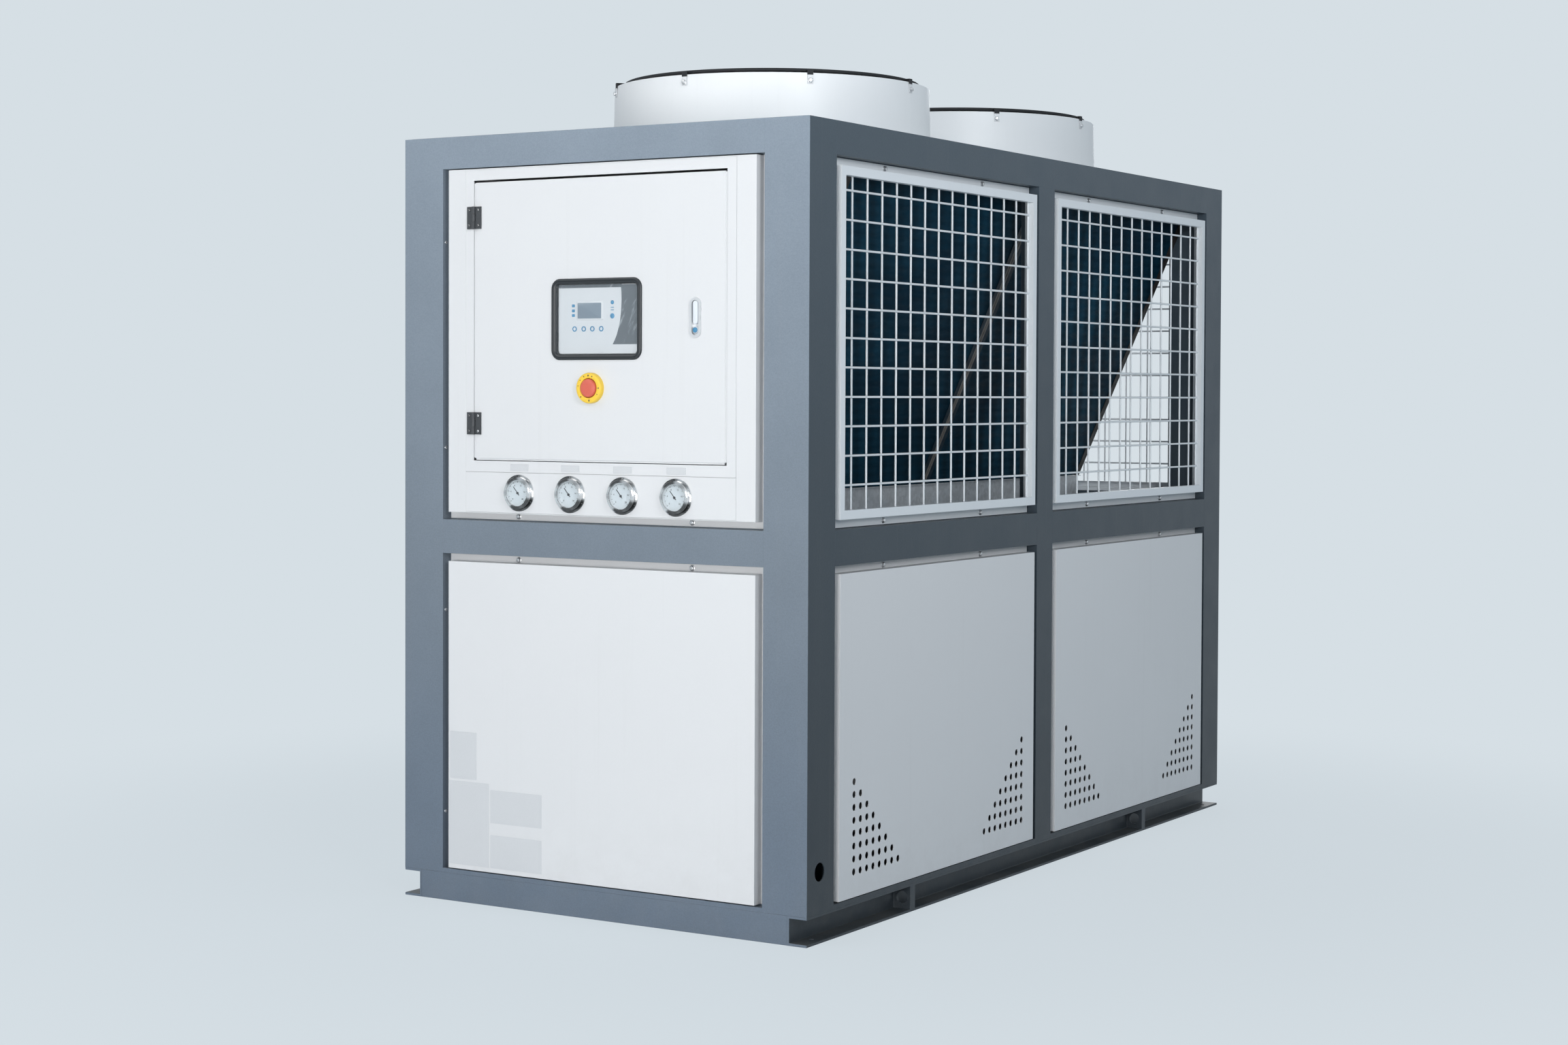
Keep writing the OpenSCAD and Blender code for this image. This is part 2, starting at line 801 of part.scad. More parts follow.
module fan_rotor(y) {
    translate([0, y, 0]) {
        difference() {
            translate([0, 0, hub_foot]) cylinder(r = hub_r, h = hub_h);
            translate([0, 0, stator_foot - run_gap])
                cylinder(r = stator_r + run_gap, h = hub_top - stator_foot + run_gap + over);
            translate([0, 0, hub_foot + hub_cap])
                cylinder(r = shaft_r + shaft_play, h = hub_h);
        }
        for (i = [0 : blade_count - 1]) rotate(i * 360 / blade_count)
            translate([0, 0, blade_z]) fan_blade();
    }
}

module fan_rotor_front() {
    color(soft_black) fan_rotor(fan_ys[0]);
}

module fan_rotor_rear() {
    color(soft_black) fan_rotor(fan_ys[1]);
}

// Control cabinet

module control_surround() {
    inner = cabinet_w / 2 + seat;
    color(panel_white) on_front() difference() {
        pan(end_open, up_open, [gap_side, gap_screw, gap_slim]);
        block([-inner, face_depth - over, pan_foot + sheet_t],
              [inner, lip_depth + over, pan_head - sheet_t]);
    }
}

module control_cabinet() {
    half = cabinet_w / 2;
    gap_x = door_w / 2 + door_gap;
    color(panel_white) on_front() difference() {
        union() {
            block([-half, face_depth, cabinet_foot], [half, lip_depth - sheet_t, cabinet_head]);
            block([-half, face_depth, cabinet_foot], [half, cabinet_depth, cabinet_roof]);
        }
        block([-half + sheet_t, face_depth + sheet_t, cabinet_foot + sheet_t],
              [half - sheet_t, cabinet_depth - sheet_t, cabinet_roof - sheet_t]);
        block([-gap_x, face_depth - over, door_foot - door_gap],
              [gap_x, face_depth + 2 * sheet_t, door_head + door_gap]);
    }
}

module mounting_plate() {
    inset = 50;
    stand_r = 6;
    stand = 20;
    plate_y = cabinet_depth - sheet_t - stand;
    size = [cabinet_w - 2 * inset, cabinet_roof - cabinet_foot - 2 * inset];
    middle = (cabinet_roof + cabinet_foot) / 2;
    color(galvanised) on_front() translate([0, 0, middle]) {
        upright(plate_y - sheet_t, plate_y) square(size, center = true);
        upright(plate_y, plate_y + stand) for (x = [-1, 1], z = [-1, 1])
            translate([x * (size[0] / 2 - inset), z * (size[1] / 2 - inset)]) circle(stand_r);
    }
}

module gauge_plate() {
    half = cabinet_w / 2;
    color(panel_white) on_front() difference() {
        block([-half, face_depth, gauge_foot], [half, lip_depth - sheet_t, gauge_head]);
        block([-half + sheet_t, face_depth + sheet_t, gauge_foot + sheet_t],
              [half - sheet_t, lip_depth, gauge_head - sheet_t]);
        for (x = gauge_xs) translate([x, face_depth - over, gauge_z])
            rotate([-90, 0, 0]) cylinder(r = gauge_case_r + seat, h = sheet_t + 2 * over);
    }
}

// Gauges stand on the gauge plate, each drawn along +Z out of the plate's face
module at_gauges() {
    on_front() for (x = gauge_xs) translate([x, face_depth, gauge_z]) rotate([90, 0, 0]) children();
}

module gauge_cases() {
    flange_r = gauge_d / 2;
    bezel_r = (gauge_d + dial_d) / 4 + 1;
    bore_r = dial_d / 2 + seat;
    color("#c3c7cb") at_gauges() rotate_extrude($fn = 64) polygon([
        [0, -case_depth], [gauge_case_r, -case_depth], [gauge_case_r, 0], [flange_r, 0],
        [flange_r, gauge_flange_t], [bezel_r + 1, gauge_flange_t], [bezel_r, bezel_h - 2],
        [bezel_r - 2, bezel_h], [bore_r, bezel_h], [bore_r, dial_floor], [0, dial_floor]
    ]);
}

module gauge_dials() {
    needle = [dial_d * 0.42, 1.6];
    color("#f4f4f0") at_gauges() translate([0, 0, dial_floor]) {
        cylinder(d = dial_d, h = 1.5);
        translate([0, 0, 1.5]) cylinder(r = 3, h = 1.5);
        rotate(130) translate([-needle[0] / 4, -needle[1] / 2, 1.5]) cube([needle[0], needle[1], 1]);
    }
}

module gauge_glasses() {
    color("#dfe8ee", 0.35) at_gauges() translate([0, 0, bezel_h - 4]) cylinder(d = dial_d, h = 2);
}

// Hinges, drawn about the pin's axis

module at_hinges() {
    on_front() for (z = hinge_zs) translate([hinge_x, hinge_y, z]) children();
}

// A leaf on the +X side; its knuckles fill the listed stretches of the height
module hinge_leaf(stretches) {
    leaf_y = face_depth - hinge_y;
    edge = knuckle_r + knuckle_play;
    block([edge, leaf_y - hinge_t, -hinge_h / 2], [hinge_w / 2, leaf_y, hinge_h / 2]);
    for (s = stretches) {
        translate([0, 0, s[0]]) cylinder(r = knuckle_r, h = s[1] - s[0]);
        block([0, leaf_y - hinge_t, s[0]], [edge, knuckle_r - seat, s[1]]);
    }
}

module hinge_frame_leaves() {
    mid = knuckle_h / 2 - knuckle_play;
    color(soft_black) at_hinges() {
        mirror([1, 0, 0]) hinge_leaf([[-mid, mid]]);
        translate([0, 0, -hinge_h / 2]) cylinder(r = pin_r, h = hinge_h);
    }
}

module hinge_door_leaves() {
    color(soft_black) at_hinges() difference() {
        hinge_leaf([[-hinge_h / 2, -knuckle_h / 2], [knuckle_h / 2, hinge_h / 2]]);
        translate([0, 0, -hinge_h / 2 - over]) cylinder(r = pin_r + pin_play, h = hinge_h + 2 * over);
    }
}

// Door, drawn from its middle: x across, y in from its face, z up

module on_door() {
    on_front() translate([0, face_depth, door_mid]) children();
}

module door_window(grow) {
    round_rect([window_open[0] + 2 * grow, window_open[1] + 2 * grow], gasket_r - gasket_w + grow);
}

module cabinet_door() {
    color(panel_white) on_door() difference() {
        block([-door_w / 2, 0, -door_h / 2], [door_w / 2, door_fold, door_h / 2]);
        block([-door_w / 2 + sheet_t, sheet_t, -door_h / 2 + sheet_t],
              [door_w / 2 - sheet_t, door_fold + over, door_h / 2 - sheet_t]);
        upright(-over, sheet_t + over) {
            door_window(gasket_grip);
            translate([lock_x, 0]) oblong(lock_w - 4, lock_h - 4);
            translate([-stop_x, -stop_z]) circle(stop_barrel_r + seat);
        }
    }
}

module window_gasket() {
    color(soft_black) on_door() difference() {
        union() {
            upright(-gasket_proud, 0) door_window(gasket_w);
            upright(0, sheet_t) door_window(gasket_grip - seat);
            upright(sheet_t, sheet_t + gasket_tail) door_window(gasket_w);
        }
        upright(-gasket_proud - over, sheet_t + gasket_tail + over) door_window(0);
        upright(-pane_t / 2 - seat, pane_t / 2 + seat) door_window(3 + seat);
    }
}

module window_pane() {
    color("#dfe8ee", 0.35) on_door() upright(-pane_t / 2, pane_t / 2) door_window(3);
}

module controller() {
    front_y = sheet_t + gasket_tail + 6;
    body = [window_open[0] - 12, window_open[1] - 6];
    ear_x = window_w / 2 + 12;
    ear_w = 60;
    ear_y = front_y + 14;
    color("#e9ebe8") on_door() {
        upright(front_y, front_y + controller_depth) round_rect(body, 6);
        for (mx = [0, 1]) mirror([mx, 0, 0]) {
            block([body[0] / 2 - over, ear_y, -ear_w / 2], [ear_x, ear_y + sheet_t, ear_w / 2]);
            block([ear_x - sheet_t, sheet_t, -ear_w / 2], [ear_x, ear_y + sheet_t, ear_w / 2]);
        }
    }
}

module door_lock() {
    plate_t = 3;
    housing_depth = 22;
    recess = 5;
    color("#8f979d") on_door() translate([lock_x, 0, 0]) difference() {
        union() {
            upright(-plate_t, 0) oblong(lock_w, lock_h);
            upright(0, housing_depth) oblong(lock_w - 4 - 2 * seat, lock_h - 4 - 2 * seat);
        }
        upright(-plate_t - over, recess) oblong(lock_w - 12, lock_h - 12);
    }
}

// Stop button, drawn along +Z out of the door's face

module at_stop() {
    on_door() translate([-stop_x, 0, -stop_z]) rotate([90, 0, 0]) children();
}

module stop_disc() {
    color("#e8c21a") at_stop() difference() {
        cylinder(d = stop_disc_d, h = stop_disc_t);
        translate([0, 0, -over]) cylinder(r = stop_barrel_r + seat, h = stop_disc_t + 2 * over);
    }
}

module stop_switch() {
    barrel = 14;
    nut_t = 5;
    block_size = [30, 44, 34];
    bore = stop_neck + stop_travel + 1;
    color("#3a3d40") at_stop() difference() {
        union() {
            translate([0, 0, stop_disc_t]) cylinder(r = stop_collar[0], h = stop_collar[1] - stop_disc_t);
            translate([0, 0, -barrel]) cylinder(r = stop_barrel_r, h = barrel + stop_disc_t);
            translate([0, 0, -sheet_t - nut_t]) cylinder(r = stop_collar[0], h = nut_t, $fn = 6);
            translate([0, 0, -barrel - block_size[2] / 2]) cube(block_size, center = true);
        }
        translate([0, 0, -bore]) cylinder(r = stop_bore_r, h = bore + stop_collar[1] + over);
    }
}

module stop_button() {
    head_foot = stop_collar[1] + stop_rest_gap;
    head_h = 15;
    head_r = stop_head_d / 2;
    color("#c01f1c") at_stop() {
        translate([0, 0, -stop_neck]) cylinder(r = stop_neck_r, h = head_foot + stop_neck);
        rotate_extrude($fn = 64) polygon([
            [0, head_foot], [head_r - 4, head_foot], [head_r, head_foot + 4],
            [head_r, head_foot + head_h - 5], [head_r - 4, head_foot + head_h - 1],
            [head_r - 9, head_foot + head_h], [0, head_foot + head_h]
        ]);
    }
}

base_side_channels();
base_end_channels();
base_cross_members();
corner_posts();
middle_posts();
top_rails();
middle_rails();
sills();
floor_deck();
middle_deck();
roof_deck();
drip_tray();
front_panel();
back_panel();
right_panels();
left_panels();
right_guards();
left_guards();
back_guard();
right_coils();
left_coils();
coil_end_plates();
coil_baffles();
fan_shroud_front();
fan_shroud_rear();
fan_guard_front();
fan_guard_rear();
fan_motors();
fan_rotor_front();
fan_rotor_rear();
control_surround();
control_cabinet();
mounting_plate();
gauge_plate();
gauge_cases();
gauge_dials();
gauge_glasses();
hinge_frame_leaves();
cabinet_door();
hinge_door_leaves();
window_gasket();
window_pane();
controller();
door_lock();
stop_disc();
stop_switch();
stop_button();
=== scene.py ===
import math

import bmesh
import bpy
from mathutils import Matrix, Vector


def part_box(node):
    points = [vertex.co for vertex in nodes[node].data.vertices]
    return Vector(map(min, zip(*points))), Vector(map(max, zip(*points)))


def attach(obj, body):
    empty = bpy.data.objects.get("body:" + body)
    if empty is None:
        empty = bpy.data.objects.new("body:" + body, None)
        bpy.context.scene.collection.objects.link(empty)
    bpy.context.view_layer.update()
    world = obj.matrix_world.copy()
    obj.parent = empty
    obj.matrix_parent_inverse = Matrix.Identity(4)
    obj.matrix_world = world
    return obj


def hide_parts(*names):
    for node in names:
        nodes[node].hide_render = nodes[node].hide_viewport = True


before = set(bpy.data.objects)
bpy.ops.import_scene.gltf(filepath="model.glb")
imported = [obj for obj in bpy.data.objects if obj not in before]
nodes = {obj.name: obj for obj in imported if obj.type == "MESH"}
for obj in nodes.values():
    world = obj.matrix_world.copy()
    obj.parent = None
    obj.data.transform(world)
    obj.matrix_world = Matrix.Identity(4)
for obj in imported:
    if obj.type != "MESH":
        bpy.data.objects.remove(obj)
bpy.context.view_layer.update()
print("frame loaded,", len(nodes), "nodes")

# main measures of the unit, in metres, the rest is read from the frame
unit = {"post": 0.115, "midPost": 0.09, "sheet": 0.002, "lipDepth": 0.03, "gaugePitch": 0.146}
coils = {"lean": math.radians(24), "thick": 0.08, "tubePitch": 0.0254}
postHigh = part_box("corner_posts")[1]
panelLow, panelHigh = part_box("front_panel")
doorLow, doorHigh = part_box("cabinet_door")
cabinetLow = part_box("control_cabinet")[0]
caseLow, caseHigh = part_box("gauge_cases")
halfWide, halfLong = postHigh.x, postHigh.y
doorMid = (doorLow.z + doorHigh.z) / 2
gaugeUp = (caseLow.z + caseHigh.z) / 2
faceDepth = halfLong + panelLow.y  # the door's sheet lies in line with the panels' raised faces
upAxis = Vector((0, 0, 1))

sides = {  # middle of the face at ground level, direction across, direction out
    "front": (Vector((0, -halfLong, 0)), Vector((1, 0, 0)), Vector((0, -1, 0))),
    "back": (Vector((0, halfLong, 0)), Vector((-1, 0, 0)), Vector((0, 1, 0))),
    "right": (Vector((halfWide, 0, 0)), Vector((0, 1, 0)), Vector((1, 0, 0))),
    "left": (Vector((-halfWide, 0, 0)), Vector((0, -1, 0)), Vector((-1, 0, 0))),
}
endSpans = [(unit["post"] - halfWide, halfWide - unit["post"])]
baySpans = [(unit["post"] - halfLong, -unit["midPost"] / 2), (unit["midPost"] / 2, halfLong - unit["post"])]
openSpans = {"front": endSpans, "back": endSpans, "right": baySpans, "left": baySpans}  # between the posts


def axesAt(spot, across, up, out):  # local x, y and z along the three directions
    return Matrix.Translation(spot) @ Matrix((across, up, out)).transposed().to_4x4()


def placeOn(side, across, up, depth):  # local x across, y up, z out of the face
    middle, acrossWay, outWay = sides[side]
    return axesAt(middle + acrossWay * across + upAxis * up - outWay * depth, acrossWay, upAxis, outWay)


# camera at the photograph's view
viewpoint = {"azimuth": 31.424, "elevation": 1.503, "roll": 0.231, "place": (3.444, -5.9585, 1.205),
             "lens": 59.35, "sensor": 36.0, "shift": (-0.0046, -0.0388)}


def makeCamera():
    turn, tilt, roll = (math.radians(viewpoint[key]) for key in ("azimuth", "elevation", "roll"))
    back = Vector((math.sin(turn) * math.cos(tilt), -math.cos(turn) * math.cos(tilt), math.sin(tilt)))
    right = Vector((math.cos(turn), math.sin(turn), 0))
    up = back.cross(right)
    across = right * math.cos(roll) + up * math.sin(roll)
    upright = up * math.cos(roll) - right * math.sin(roll)
    data = bpy.data.cameras.new("photoCamera")
    data.lens, data.sensor_width = viewpoint["lens"], viewpoint["sensor"]
    data.shift_x, data.shift_y = viewpoint["shift"]
    camera = bpy.data.objects.new("photoCamera", data)
    bpy.context.scene.collection.objects.link(camera)
    camera.matrix_world = axesAt(viewpoint["place"], across, upright, back)
    bpy.context.scene.camera = camera


makeCamera()
bpy.context.scene.view_settings.view_transform = "Standard"
print("camera placed")


# shader tools
def addNode(tree, kind, inputs=(), **settings):
    node = tree.nodes.new("ShaderNode" + kind)
    for name, value in settings.items():
        setattr(node, name, value)
    pairs = inputs.items() if isinstance(inputs, dict) else enumerate(inputs)
    for key, value in pairs:
        if isinstance(value, bpy.types.NodeSocket):
            tree.links.new(value, node.inputs[key])
        else:
            node.inputs[key].default_value = value
    return node


def link(tree, sockets, **sources):  # an underscore stands for the space in a socket's name
    for key, source in sources.items():
        tree.links.new(source, sockets[key.replace("_", " ")])


def calc(tree, operation, *values):
    return addNode(tree, "Math", values, operation=operation).outputs[0]


def times(tree, first, second):
    return calc(tree, "MULTIPLY", first, second)


def wave(tree, value, pitch):
    return calc(tree, "SINE", times(tree, value, 2 * math.pi / pitch))


def ramp(tree, value, low, high, outLow=0.0, outHigh=1.0):
    node = addNode(tree, "MapRange", (value, low, high, outLow, outHigh), interpolation_type="SMOOTHSTEP")
    return node.outputs[0]


def blend(tree, factor, first, second, mode="MIX"):
    node = addNode(tree, "Mix", {0: factor, 6: first, 7: second}, data_type="RGBA", blend_type=mode)
    return node.outputs[2]


def noise(tree, coords, scale, detail=3.0, roughness=0.5):
    return addNode(tree, "TexNoise", {"Vector": coords, "Scale": scale, "Detail": detail,
                                      "Roughness": roughness}).outputs["Fac"]


def stretched(tree, coords, scale):
    return addNode(tree, "Mapping", {"Vector": coords, "Scale": scale}).outputs[0]


def objectCoords(tree):
    return addNode(tree, "TexCoord").outputs["Object"]


def surfaceNormal(tree):
    return addNode(tree, "NewGeometry").outputs["Normal"]


def split(tree, vector):
    return addNode(tree, "SeparateXYZ", (vector,)).outputs


def scaled(tree, vector, factor):
    return addNode(tree, "VectorMath", {0: vector, "Scale": factor}, operation="SCALE").outputs[0]


def bump(tree, strength, distance, height):
    return addNode(tree, "Bump", {"Strength": strength, "Distance": distance, "Height": height}).outputs[0]


def newGroup(name, inputs, outputs):
    group = bpy.data.node_groups.new(name, "ShaderNodeTree")
    kinds = {"colour": "NodeSocketColor", "value": "NodeSocketFloat", "vector": "NodeSocketVector"}
    for label, kind, value in inputs:
        group.interface.new_socket(label, in_out="INPUT", socket_type=kinds[kind]).default_value = value
    for label, kind in outputs:
        group.interface.new_socket(label, in_out="OUTPUT", socket_type=kinds[kind])
    return group, group.nodes.new("NodeGroupInput").outputs, group.nodes.new("NodeGroupOutput").inputs


def useGroup(tree, group, inputs):
    return addNode(tree, "Group", inputs, node_tree=group).outputs


# shared finishes
def makePaintGrain():  # mottled tone, fine speckle and the orange peel of sprayed paint
    group, given, result = newGroup(
        "paintGrain",
        [("Color", "colour", (0.5, 0.5, 0.5, 1)), ("Mottle", "value", 0.05), ("Speckle", "value", 0.03),
         ("Roughness", "value", 0.4), ("Peel", "value", 0.1)],
        [("Color", "colour"), ("Roughness", "value"), ("Normal", "vector")])
    coords = objectCoords(group)
    cloud = calc(group, "SUBTRACT", noise(group, coords, 2.6, 4), 0.5)
    grain = calc(group, "SUBTRACT", noise(group, coords, 310, 2, 0.7), 0.5)
    patch = calc(group, "SUBTRACT", noise(group, coords, 11, 5, 0.6), 0.5)
    tone = calc(group, "MULTIPLY_ADD", cloud, times(group, given["Mottle"], 2.0), 1.0)
    tone = calc(group, "MULTIPLY_ADD", grain, times(group, given["Speckle"], 2.0), tone)
    tone = calc(group, "MULTIPLY_ADD", patch, given["Mottle"], tone)
    link(group, result, Color=scaled(group, given["Color"], tone),
         Roughness=calc(group, "MULTIPLY_ADD", patch, 0.22, given["Roughness"]),
         Normal=bump(group, given["Peel"], 0.0006, noise(group, coords, 260, 2)))
    return group


def makeEdgeWearAndHighlight():  # rubbed edges, broken up so that no line is even; on the guards the pale edge colour is a painted highlight
    group, given, result = newGroup(
        "edgeWearAndHighlight",
        [("Color", "colour", (0.5, 0.5, 0.5, 1)), ("Worn And Highlight", "colour", (0.6, 0.6, 0.6, 1)),
         ("Radius", "value", 0.002), ("Amount", "value", 0.5)],
        [("Color", "colour"), ("Mask", "value")])
    bevel = addNode(group, "Bevel", {"Radius": given["Radius"]}, samples=4).outputs[0]
    facing = addNode(group, "VectorMath", (bevel, surfaceNormal(group)), operation="DOT_PRODUCT")
    edge = ramp(group, facing.outputs["Value"], 0.985, 0.86)
    breakup = ramp(group, noise(group, objectCoords(group), 28, 6, 0.65), 0.38, 0.62)
    mask = times(group, times(group, edge, breakup), given["Amount"])
    link(group, result, Color=blend(group, mask, given["Color"], given["Worn And Highlight"]), Mask=mask)
    return group


def makeWeather():  # dust on level faces and low down, faint runs down upright ones, which on the zinc are also painted shadow streaks
    group, given, result = newGroup(
        "weather",
        [("Color", "colour", (0.5, 0.5, 0.5, 1)), ("Dust", "colour", (0.36, 0.34, 0.31, 1)),
         ("Settled", "value", 0.3), ("Splash", "value", 0.1), ("Height", "value", 0.3),
         ("Runs And Shadow Streaks", "value", 0.05)],
        [("Color", "colour"), ("Mask", "value")])
    coords = objectCoords(group)
    level = split(group, surfaceNormal(group))[2]
    height = split(group, coords)[2]
    lie = times(group, ramp(group, level, 0.5, 0.97),
                ramp(group, noise(group, coords, 7, 6, 0.6), 0.25, 0.7))
    low = times(group, ramp(group, calc(group, "DIVIDE", height, given["Height"]), 1.0, 0.0),
                ramp(group, noise(group, coords, 16, 6, 0.7), 0.3, 0.75))
    streak = noise(group, stretched(group, coords, (46, 46, 1.1)), 1.0, 4, 0.6)
    upright = ramp(group, calc(group, "ABSOLUTE", level), 0.5, 0.1)
    run = times(group, times(group, ramp(group, streak, 0.55, 0.78), upright), given["Runs And Shadow Streaks"])
    mask = calc(group, "MAXIMUM", times(group, lie, given["Settled"]), times(group, low, given["Splash"]))
    mask = calc(group, "ADD", mask, run)
    link(group, result, Color=blend(group, mask, given["Color"], given["Dust"]), Mask=mask)
    return group


def makeScratches():  # thin hairlines in two directions
    group, given, result = newGroup("scratches", [("Scale", "value", 1.0), ("Amount", "value", 0.3)],
                                    [("Mask", "value")])
    coords = scaled(group, objectCoords(group), given["Scale"])
    lines = []
    for turn, spread in ((0.4, (6, 6, 210)), (1.1, (190, 190, 5))):
        mapped = addNode(group, "Mapping", {"Vector": coords, "Rotation": (turn, turn * 0.6, 0.2),
                                            "Scale": spread}).outputs[0]
        lines.append(ramp(group, noise(group, mapped, 1.0, 2), 0.665, 0.70))
    link(group, result, Mask=times(group, calc(group, "MAXIMUM", *lines), given["Amount"]))
    return group


def makePaintedLightShade():  # painted light and shade: faces turned to the front and the posts' reveals take a paler tone as painted sheen and light, darker and bluer towards the foot as painted shade
    group, given, result = newGroup(
        "paintedLightShade",
        [("Color", "colour", (0.5, 0.5, 0.5, 1)), ("Lit Tone", "colour", (0.6, 0.6, 0.6, 1)),
         ("Shade", "colour", (0.98, 1.04, 1.12, 1)), ("Reach", "value", -1.0), ("Inside", "value", 0.4),
         ("Reveal", "value", 0.75), ("Foot", "value", 0.6), ("Height", "value", 1.9)],
        [("Color", "colour")])
    coords = objectCoords(group)
    out = split(group, surfaceNormal(group))[1]
    x, y, height = split(group, coords)
    # darkening towards the foot: painted shade
    rise = addNode(group, "MapRange", (height, 0.0, given["Height"], given["Foot"], 1.0)).outputs[0]
    outer = ramp(group, y, given["Reach"], calc(group, "SUBTRACT", given["Reach"], 0.01))
    inside = calc(group, "LESS_THAN", calc(group, "ABSOLUTE", x), given["Inside"])
    # faces turned to the front, and the reveals near it, take the paler tone: painted sheen and painted light
    turned = calc(group, "MAXIMUM", ramp(group, out, -0.35, -0.95), times(group, inside, given["Reveal"]))
    cloud = ramp(group, noise(group, coords, 5, 5, 0.6), 0.2, 0.8, 0.9, 1.0)
    paintedLitMask = times(group, times(group, turned, outer), cloud)
    footShaded = scaled(group, given["Color"], calc(group, "POWER", rise, 1.5))
    low = ramp(group, height, 0.9, 0.0)
    # the paler tone turns bluer towards the foot: painted shade
    bluer = blend(group, low, given["Lit Tone"], blend(group, 1.0, given["Lit Tone"], given["Shade"], "MULTIPLY"))
    link(group, result, Color=blend(group, paintedLitMask, footShaded, scaled(group, bluer, rise)))
    return group


paintGrain = makePaintGrain()
paintedLightShade = makePaintedLightShade()
edgeWearAndHighlight = makeEdgeWearAndHighlight()
weather = makeWeather()
scratches = makeScratches()


def newMaterial(name, **values):  # values are named as in link
    material = bpy.data.materials.new(name)
    material.use_nodes = True
    shader = material.node_tree.nodes["Principled BSDF"]
    for key, value in values.items():
        shader.inputs[key.replace("_", " ")].default_value = value
    return material, material.node_tree, shader


# paints, rubber and plastics, each over the common values
paintCommon = {"settled": 0.05, "splash": 0.0, "height": 0.3, "runs": 0.0, "specular": 0.5}


def coated(tree, colour, spec):  # grain, rubbed edges and dirt over a colour
    grain = useGroup(tree, paintGrain, {"Color": colour, "Mottle": spec["mottle"], "Peel": spec["peel"],
                                        "Speckle": spec["speckle"], "Roughness": spec["roughness"]})
    wornAndHighlight = useGroup(tree, edgeWearAndHighlight, {"Color": grain["Color"], "Worn And Highlight": (*spec["wornAndHighlight"], 1),
                                     "Radius": spec["edge"], "Amount": spec["wearAndHighlight"]})
    aged = useGroup(tree, weather, {"Color": wornAndHighlight["Color"], "Settled": spec["settled"], "Runs And Shadow Streaks": spec["runs"],
                                    "Splash": spec["splash"], "Height": spec["height"]})
    return grain, aged


def painted(name, own):
    spec = paintCommon | own
    material, tree, shader = newMaterial(name, Specular_IOR_Level=spec["specular"])
    colour = (*spec["colour"], 1)
    # a paler tone on faces towards the front and darkening towards the foot: painted light and shade
    if "litTone" in spec:
        colour = useGroup(tree, paintedLightShade, {
            "Color": colour, "Lit Tone": (*spec["litTone"], 1), "Foot": spec["foot"],
            "Reach": spec["litDepth"] - halfLong, "Inside": halfWide - spec["litEdge"]})["Color"]
    grain, aged = coated(tree, colour, spec)
    rough = calc(tree, "MULTIPLY_ADD", aged["Mask"], 0.3, grain["Roughness"])
    link(tree, shader.inputs, Base_Color=aged["Color"], Roughness=rough, Normal=grain["Normal"])
    return material


# front faces and reveals paler, darker towards the foot: painted light and shade
framePaint = painted("framePaint", {
    "colour": (0.070, 0.094, 0.117), "litTone": (0.258, 0.306, 0.362), "foot": 0.55, "litDepth": 0.04,
    "litEdge": 0.1, "mottle": 0.05, "speckle": 0.16, "roughness": 0.40, "peel": 0.22,
    "wornAndHighlight": (0.24, 0.29, 0.33), "edge": 0.0018, "wearAndHighlight": 0.22, "settled": 0.2, "splash": 0.06, "height": 0.25,
    "runs": 0.03, "specular": 0.28})
panelPaint = painted("panelPaint", {
    "colour": (0.725, 0.728, 0.737), "mottle": 0.012, "speckle": 0.012, "roughness": 0.46, "peel": 0.10,
    "wornAndHighlight": (0.82, 0.84, 0.86), "edge": 0.0018, "wearAndHighlight": 0.4, "settled": 0.22, "splash": 0.10, "height": 0.34,
    "runs": 0.035})
shroudPaint = painted("shroudPaint", {
    "colour": (0.805, 0.825, 0.84), "mottle": 0.012, "speckle": 0.012, "roughness": 0.44, "peel": 0.10,
    "wornAndHighlight": (0.86, 0.87, 0.89), "edge": 0.0018, "wearAndHighlight": 0.4, "settled": 0.25, "runs": 0.035})
# the pale, strong edge colour on the guard frames is a painted highlight of their rounded edges
guardPaint = painted("guardPaint", {
    "colour": (0.77, 0.80, 0.825), "mottle": 0.02, "speckle": 0.02, "roughness": 0.42, "peel": 0.12,
    "wornAndHighlight": (0.93, 0.94, 0.95), "edge": 0.0022, "wearAndHighlight": 0.8, "settled": 0.25, "splash": 0.05, "runs": 0.05})
fanBlack = painted("fanBlack", {
    "colour": (0.022, 0.024, 0.027), "mottle": 0.08, "speckle": 0.10, "roughness": 0.44, "peel": 0.2,
    "wornAndHighlight": (0.10, 0.105, 0.11), "edge": 0.002, "wearAndHighlight": 0.5, "settled": 0.3})
hingeBlack = painted("hingeBlack", {
    "colour": (0.045, 0.049, 0.054), "mottle": 0.05, "speckle": 0.22, "roughness": 0.48, "peel": 0.6,
    "wornAndHighlight": (0.16, 0.165, 0.17), "edge": 0.0012, "wearAndHighlight": 0.4, "settled": 0.1})
gasketRubber = painted("gasketRubber", {
    "colour": (0.018, 0.022, 0.026), "mottle": 0.1, "speckle": 0.1, "roughness": 0.36, "peel": 0.12,
    "wornAndHighlight": (0.03, 0.03, 0.03), "edge": 0.002, "wearAndHighlight": 0.3})
shellPlastic = painted("shellPlastic", {
    "colour": (0.74, 0.78, 0.82), "mottle": 0.01, "speckle": 0.04, "roughness": 0.45, "peel": 0.5,
    "wornAndHighlight": (0.80, 0.82, 0.84), "edge": 0.001, "wearAndHighlight": 0.2})
stopYellow = painted("stopYellow", {
    "colour": (0.90, 0.60, 0.06), "mottle": 0.03, "speckle": 0.05, "roughness": 0.42, "peel": 0.25,
    "wornAndHighlight": (0.92, 0.72, 0.22), "edge": 0.0008, "wearAndHighlight": 0.4, "runs": 0.04})
